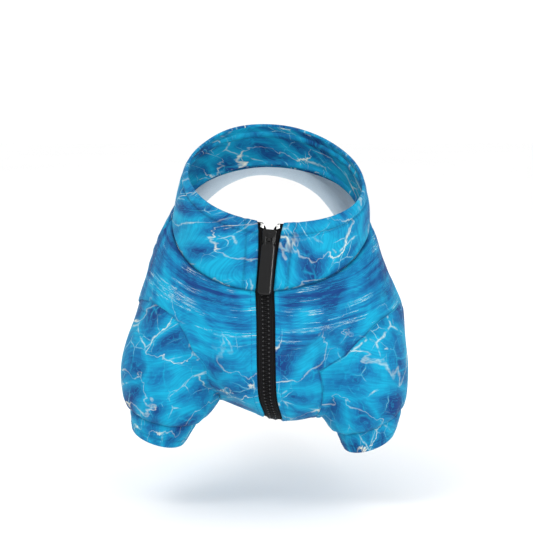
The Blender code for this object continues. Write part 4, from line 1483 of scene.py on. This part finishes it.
def arch(width, length, rise, bar, thickness, steps=10):
    """A crown: a bar bent up over a gap, its feet on the plate."""
    outer = [
        (length / 2 * math.cos(t), rise * math.sin(t) ** 0.6) for t in np.linspace(math.pi, 0, steps)
    ]
    inner = [
        ((length / 2 - bar) * math.cos(t), (rise - thickness) * math.sin(t) ** 0.6)
        for t in np.linspace(0, math.pi, steps)
    ]
    profile = outer + inner
    work = bmesh.new()
    face = work.faces.new([work.verts.new((-width / 2, y, z)) for y, z in profile])
    top = bmesh.ops.extrude_face_region(work, geom=[face])
    moved = [item for item in top["geom"] if isinstance(item, bmesh.types.BMVert)]
    bmesh.ops.translate(work, verts=moved, vec=(width, 0, 0))
    bmesh.ops.recalc_face_normals(work, faces=work.faces)
    return take_arrays(work)


class JACKET_OT_slider(bpy.types.Operator):
    """Builds the slider, its crown and the long pull"""

    bl_idname = "jacket.slider"
    bl_label = "Slider and pull"

    def execute(self, context):
        z = zip_sizes()
        matrix = slider_matrix()
        half = z.slider_length / 2
        roof = -0.3 * MM
        top = roof + 1.2 * MM
        shape = rounded_outline(z.slider_width * 0.78, z.slider_width, -half, half, 2.2 * MM)
        parts = [plate(shape, roof, top, 0.4 * MM, 3)]
        parts.append(plate(shape, -5.1 * MM, -3.9 * MM, 0.4 * MM, 3))
        for side in (1, -1):
            flange = rounded_box((0.9 * MM, z.slider_length * 0.80, 1.7 * MM), 0.3 * MM)
            shift = np.array([side * (z.slider_width * 0.45 - 0.2 * MM), -0.4 * MM, roof - 0.55 * MM])
            parts.append((flange[0] + shift, flange[1]))
        neck = rounded_box((2.0 * MM, z.slider_length * 0.30, 4.2 * MM), 0.3 * MM)
        parts.append((neck[0] + np.array([0, half * 0.66, -2.2 * MM]), neck[1]))
        crown = arch(2.0 * MM, 7.0 * MM, 3.5 * MM, 0.9 * MM, 0.95 * MM)
        parts.append((crown[0] + np.array([0, 0, top - 0.35 * MM]), crown[1]))
        obj = joined("zip_slider_cast", place_arrays(parts, matrix), black_enamel())
        fit(obj, "slider_enamel", "zip_slider")
        self.pull(matrix)
        return {"FINISHED"}

    @staticmethod
    def pull(matrix):
        """The pull: its pin, its two arms and the long tab with a crowned face."""
        z = zip_sizes()
        hang = matrix @ Matrix.Translation((0, 0, pin_height()))
        clear = 4.75 * MM
        half = 0.9 * MM
        pin = bmesh.new()
        bmesh.ops.create_cone(
            pin,
            cap_ends=True,
            segments=20,
            radius1=0.8 * MM,
            radius2=0.8 * MM,
            depth=7.0 * MM,
            matrix=Matrix.Rotation(math.pi / 2, 4, "Y"),
        )
        parts = [take_arrays(pin)]
        for side in (1, -1):
            arm = pillow_bar(1.7 * MM, -clear - 2.0 * MM, half, half, 0.8 * MM, 8, 20)
            parts.append((arm[0] + np.array([side * 2.8 * MM, 0, 0]), arm[1]))
        parts.append(pillow_bar(z.pull_width, -z.pull_length, -clear, half * 1.1, 3.0 * MM))
        obj = joined("zip_pull_cast", place_arrays(parts, hang), black_enamel())
        fit(obj, "pull_enamel", "zip_pull", body=PULL_BODY)


def pillow_bar(width, low, high, half, corner, rows=14, sides=36):
    """A long tab with rounded corners and a crowned face, from low to high along it."""
    ends = corner * (1 - np.cos(np.linspace(0, math.pi / 2, rows)))
    along = np.concatenate([low + ends, high - ends[::-1]])
    from_end = np.minimum(along - low, high - along)
    bite = corner - np.sqrt(np.clip(corner**2 - (corner - np.clip(from_end, 0, corner)) ** 2, 0, None))
    across = width / 2 - bite
    thick = half * (0.55 + 0.45 * np.clip(from_end / (corner * 0.5), 0, 1) ** 0.5)
    turn = np.linspace(0, 2 * math.pi, sides, endpoint=False)
    flat = np.sign(np.cos(turn)) * np.abs(np.cos(turn)) ** 0.45
    crown = np.sign(np.sin(turn)) * np.abs(np.sin(turn)) ** 0.75
    rings = np.stack(
        [np.outer(across, flat), np.repeat(along[:, None], sides, axis=1), np.outer(thick, crown)], axis=2
    )
    work = bmesh.new()
    verts = [[work.verts.new(point) for point in ring] for ring in rings]
    for upper, lower in zip(verts, verts[1:]):
        for k in range(sides):
            work.faces.new((upper[k], upper[(k + 1) % sides], lower[(k + 1) % sides], lower[k]))
    work.faces.new(verts[0])
    work.faces.new(verts[-1])
    return take_arrays(work)


class JACKET_OT_stops(bpy.types.Operator):
    """Builds the two bright top stops"""

    bl_idname = "jacket.stops"
    bl_label = "Top stops"

    def execute(self, context):
        line = ZipLine()
        distance = 2.1 * MM
        place, down, normal, across = line.at(np.array([distance]))
        inner = tape_edge(1 - distance / line.seam)
        for name, side in SIDES.items():
            lean = math.radians(-24 * side)
            bar = rounded_box((3.0 * MM, 1.3 * MM, 2.0 * MM), 0.4 * MM, 3)
            core = rounded_box((2.7 * MM, 2.7 * MM, 1.7 * MM), 0.4 * MM, 3)
            parts = []
            for shape, offset in ((bar, -0.95 * MM), (bar, 0.95 * MM), (core, 0.0)):
                turned = shape[0] @ np.array(Matrix.Rotation(-lean, 3, "Z"))
                centre = place + across * (side * (inner + 1.5 * MM)) + down * offset - normal * 1.3 * MM
                parts.append(repeat(turned, shape[1], centre, np.stack([across, down, normal], axis=1)))
            obj = joined("top_stop_" + name + "_bright", parts, bright_aluminium())
            fit(obj, "stop_metal", "top_stop_" + name)
        return {"FINISHED"}


# Stitching


def stitch_row(points, normals, cyclic=False):
    """Stitches along a line on the cloth: short rounded bars that dip at both ends."""
    pitch = zip_sizes().stitch
    if cyclic:
        points, normals = np.vstack([points, points[:1]]), np.vstack([normals, normals[:1]])
    steps = np.linalg.norm(np.diff(points, axis=0), axis=1)
    length = np.concatenate([[0], np.cumsum(steps)])
    middles = np.arange(pitch / 2, length[-1], pitch)
    place = np.stack([np.interp(middles, length, points[:, k]) for k in range(3)], axis=1)
    normal = unit(np.stack([np.interp(middles, length, normals[:, k]) for k in range(3)], axis=1))
    ahead = np.stack([np.interp(middles + pitch * 0.3, length, points[:, k]) for k in range(3)], axis=1)
    behind = np.stack([np.interp(middles - pitch * 0.3, length, points[:, k]) for k in range(3)], axis=1)
    along = unit(ahead - behind)
    across = np.cross(normal, along)
    bar = rounded_box((0.42 * MM, pitch * 0.74, 0.38 * MM), 0.16 * MM, 2)
    bent = bar[0].copy()
    bent[:, 2] -= (bent[:, 1] / (pitch * 0.37)) ** 2 * 0.16 * MM
    return repeat(bent, bar[1], place + normal * 0.06 * MM, np.stack([across, along, normal], axis=1))


def surface_line(obj_name, route):
    """A route drawn on a finished piece: the nearest places on its outer face and the normals there."""
    obj = bpy.data.objects[obj_name]
    places, normals = [], []
    for point in route:
        found, place, normal, _ = obj.closest_point_on_mesh(Vector(point))
        if not found:
            raise RuntimeError("a stitch has no cloth under it on " + obj_name)
        places.append(place)
        normals.append(normal)
    return np.array(places), np.array(normals)


def offset_route(grid, normals, row_distance, start, end, count=200):
    """A route round a surface's rings at a distance down from its first row."""
    down = distance_down(grid[:, ::20]).mean(axis=1)
    row = np.interp(row_distance, down, np.arange(len(grid)))
    low = int(row)
    share = row - low
    high = min(low + 1, len(grid) - 1)
    ring = grid[low] * (1 - share) + grid[high] * share
    turned = normals[low] * (1 - share) + normals[high] * share
    spans = np.linspace(start, ring_length(ring) - end, count)
    return pick_round(ring, ring, spans) + unit(pick_round(ring, turned, spans)) * 1.5 * MM


class JACKET_OT_stitching(bpy.types.Operator):
    """Sews the topstitching along the collar, zip, hems and cuffs"""

    bl_idname = "jacket.stitching"
    bl_label = "Stitching"

    def execute(self, context):
        z = zip_sizes()
        parts = []
        collar, collar_normals = collar_surface()
        height = distance_down(collar[:, ::20]).mean(axis=1)[-1]
        route = offset_route(collar, collar_normals, height - 8.5 * MM, 17 * MM, 17 * MM, 260)
        parts.append(stitch_row(*surface_line("collar_cloth", route)))
        rise = np.array([r["rise"] for r in smooth_rows(table(COLLAR_COLUMNS, COLLAR_ROWS), COLLAR_STEPS)])
        edge = z.window / 2 + z.flare / 2 * rise**3 + 8.5 * MM
        keep = distance_down(collar[:, :1])[:, 0] < height - 8.0 * MM
        for side in (1, -1):
            route = [
                pick_round(ring, ring, np.array([side * e]))[0] + n[0] * 1.5 * MM
                for ring, n, e in zip(collar[keep], collar_normals[keep], edge[keep])
            ]
            parts.append(stitch_row(*surface_line("collar_cloth", route)))
        body, body_normals = body_surface()
        for name, side in SIDES.items():
            route = [
                pick_round(ring, ring, np.array([side * (z.window / 2 + 3.0 * MM)]))[0] + n[0] * 1.5 * MM
                for ring, n in zip(body, body_normals)
            ]
            parts.append(stitch_row(*surface_line("chest_panel_" + name + "_cloth", route)))
        obj = joined("topstitching", parts, sewing_thread())
        fit(obj, PRINT_SLOT)
        self.hems(body, body_normals)
        return {"FINISHED"}

    @staticmethod
    def hems(body, body_normals):
        """Stitches round the rear hem and the cuffs."""
        parts = []
        down = distance_down(body[:, ::20]).mean(axis=1)[-1]
        girth = ring_length(body[-1])
        seam = girth / 2 * SIDE_SEAM
        for name, start, end in (
            ("chest_panel_left_cloth", 10 * MM, girth - seam + 2 * MM),
            ("back_panel_cloth", seam + 2 * MM, seam + 2 * MM),
            ("chest_panel_right_cloth", girth - seam + 2 * MM, 10 * MM),
        ):
            route = offset_route(body, body_normals, down - 10.8 * MM, start, end, 120)
            parts.append(stitch_row(*surface_line(name, route)))
        for name in SIDES:
            grid, normals = cuff_surface(name)
            height = distance_down(grid[:, ::20]).mean(axis=1)[-1]
            route = offset_route(grid, normals, height - 5.8 * MM, 0, 0, 90)
            parts.append(stitch_row(*surface_line("cuff_" + name + "_cloth", route)))
        obj = joined("hem_stitching", parts, sewing_thread())
        fit(obj, PRINT_SLOT)


# Studio

FLOOR_DROP = 0.045
CAMERA_ELEVATION = 6.0
CAMERA_DISTANCE = 1.6
FRAME_WIDTH = 0.405
AIM = (0.0011, -0.085, -0.0725)


class JACKET_OT_stage(bpy.types.Operator):
    """Builds the floor, the lights and the camera"""

    bl_idname = "jacket.stage"
    bl_label = "Studio"

    def execute(self, context):
        scene = context.scene
        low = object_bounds()[0][2] - FLOOR_DROP
        floor = mesh_object(
            "floor", [(-6, -6, low), (6, -6, low), (6, 6, low), (-6, 6, low)], [(0, 1, 2, 3)], smooth=False
        )
        material, tree, shader = new_material("matt painted floor", Roughness=0.9, Specular_IOR_Level=0.2)
        place = add_node(tree, "ShaderNodeTexCoord").outputs["Object"]
        grain = add_node(tree, "ShaderNodeTexNoise", {"Vector": place, "Scale": 3.0, "Detail": 3.0})
        pale = colours().floor
        colour = ramp(tree, grain.outputs["Fac"], [(0.3, opaque([v * 0.985 for v in pale])), (0.7, opaque(pale))])
        tree.links.new(colour, shader.inputs["Base Color"])
        floor.data.materials.append(material)
        floor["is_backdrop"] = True
        world = bpy.data.worlds.new("soft white room")
        world.use_nodes = True
        sky = world.node_tree.nodes["Background"]
        sky.inputs["Color"].default_value = (1, 1, 1, 1)
        sky.inputs["Strength"].default_value = 1.05
        scene.world = world
        scene.view_settings.view_transform = "Standard"
        middle = Vector(AIM)
        for name, place, size, power in (
            ("key light", (-0.8, -1.2, 1.6), (0.8, 0.8), 11.0),
            ("strip light", (0.5, -1.4, 0.1), (0.06, 0.9), 8.0),
            ("rear light", (0.3, 1.6, 1.2), (1.2, 1.2), 7.0),
        ):
            lamp = bpy.data.lights.new(name, "AREA")
            lamp.shape = "RECTANGLE"
            lamp.energy = power
            lamp.size, lamp.size_y = size
            holder = bpy.data.objects.new(name, lamp)
            holder.location = place
            holder.rotation_euler = (Vector(place) - middle).to_track_quat("Z", "Y").to_euler()
            scene.collection.objects.link(holder)
        rise = math.radians(CAMERA_ELEVATION)
        away = Vector((0, -math.cos(rise), math.sin(rise)))
        camera = bpy.data.cameras.new("camera")
        camera.lens = camera.sensor_width * CAMERA_DISTANCE / FRAME_WIDTH
        holder = bpy.data.objects.new("camera", camera)
        holder.location = middle + away * CAMERA_DISTANCE
        holder.rotation_euler = away.to_track_quat("Z", "Y").to_euler()
        scene.collection.objects.link(holder)
        scene.camera = holder
        return {"FINISHED"}


class JACKET_PT_panel(bpy.types.Panel):
    """Lists the pieces, sizes and colours"""

    bl_idname = "JACKET_PT_panel"
    bl_label = "Dog jacket"
    bl_space_type = "VIEW_3D"
    bl_region_type = "UI"
    bl_category = "Jacket"

    def draw(self, context):
        layout = self.layout
        for operator in OPERATORS:
            layout.operator(operator.bl_idname)
        for group in (context.scene.jacket_sizes, context.scene.jacket_zip, context.scene.jacket_colours):
            box = layout.box()
            for name in group.bl_rna.properties.keys():
                if name not in ("rna_type", "name"):
                    box.prop(group, name)


GROUPS = {"jacket_sizes": JacketSizes, "jacket_zip": JacketZip, "jacket_colours": JacketColours}
OPERATORS = (
    JACKET_OT_body,
    JACKET_OT_sleeves,
    JACKET_OT_collar,
    JACKET_OT_tapes,
    JACKET_OT_teeth,
    JACKET_OT_slider,
    JACKET_OT_stops,
    JACKET_OT_stitching,
    JACKET_OT_stage,
)


def register():
    """Adds the property groups, operators and panel."""
    for name, group in GROUPS.items():
        bpy.utils.register_class(group)
        setattr(bpy.types.Scene, name, PointerProperty(type=group))
    for operator in OPERATORS:
        bpy.utils.register_class(operator)
    bpy.utils.register_class(JACKET_PT_panel)


def unregister():
    """Removes them again."""
    bpy.utils.unregister_class(JACKET_PT_panel)
    for operator in reversed(OPERATORS):
        bpy.utils.unregister_class(operator)
    for name, group in GROUPS.items():
        delattr(bpy.types.Scene, name)
        bpy.utils.unregister_class(group)


def main():
    """Builds every piece."""
    register()
    bpy.ops.jacket.body()
    bpy.ops.jacket.sleeves()
    bpy.ops.jacket.collar()
    bpy.ops.jacket.tapes()
    bpy.ops.jacket.teeth()
    bpy.ops.jacket.slider()
    bpy.ops.jacket.stops()
    bpy.ops.jacket.stitching()
    bpy.ops.jacket.stage()


if __name__ == "__main__":
    main()
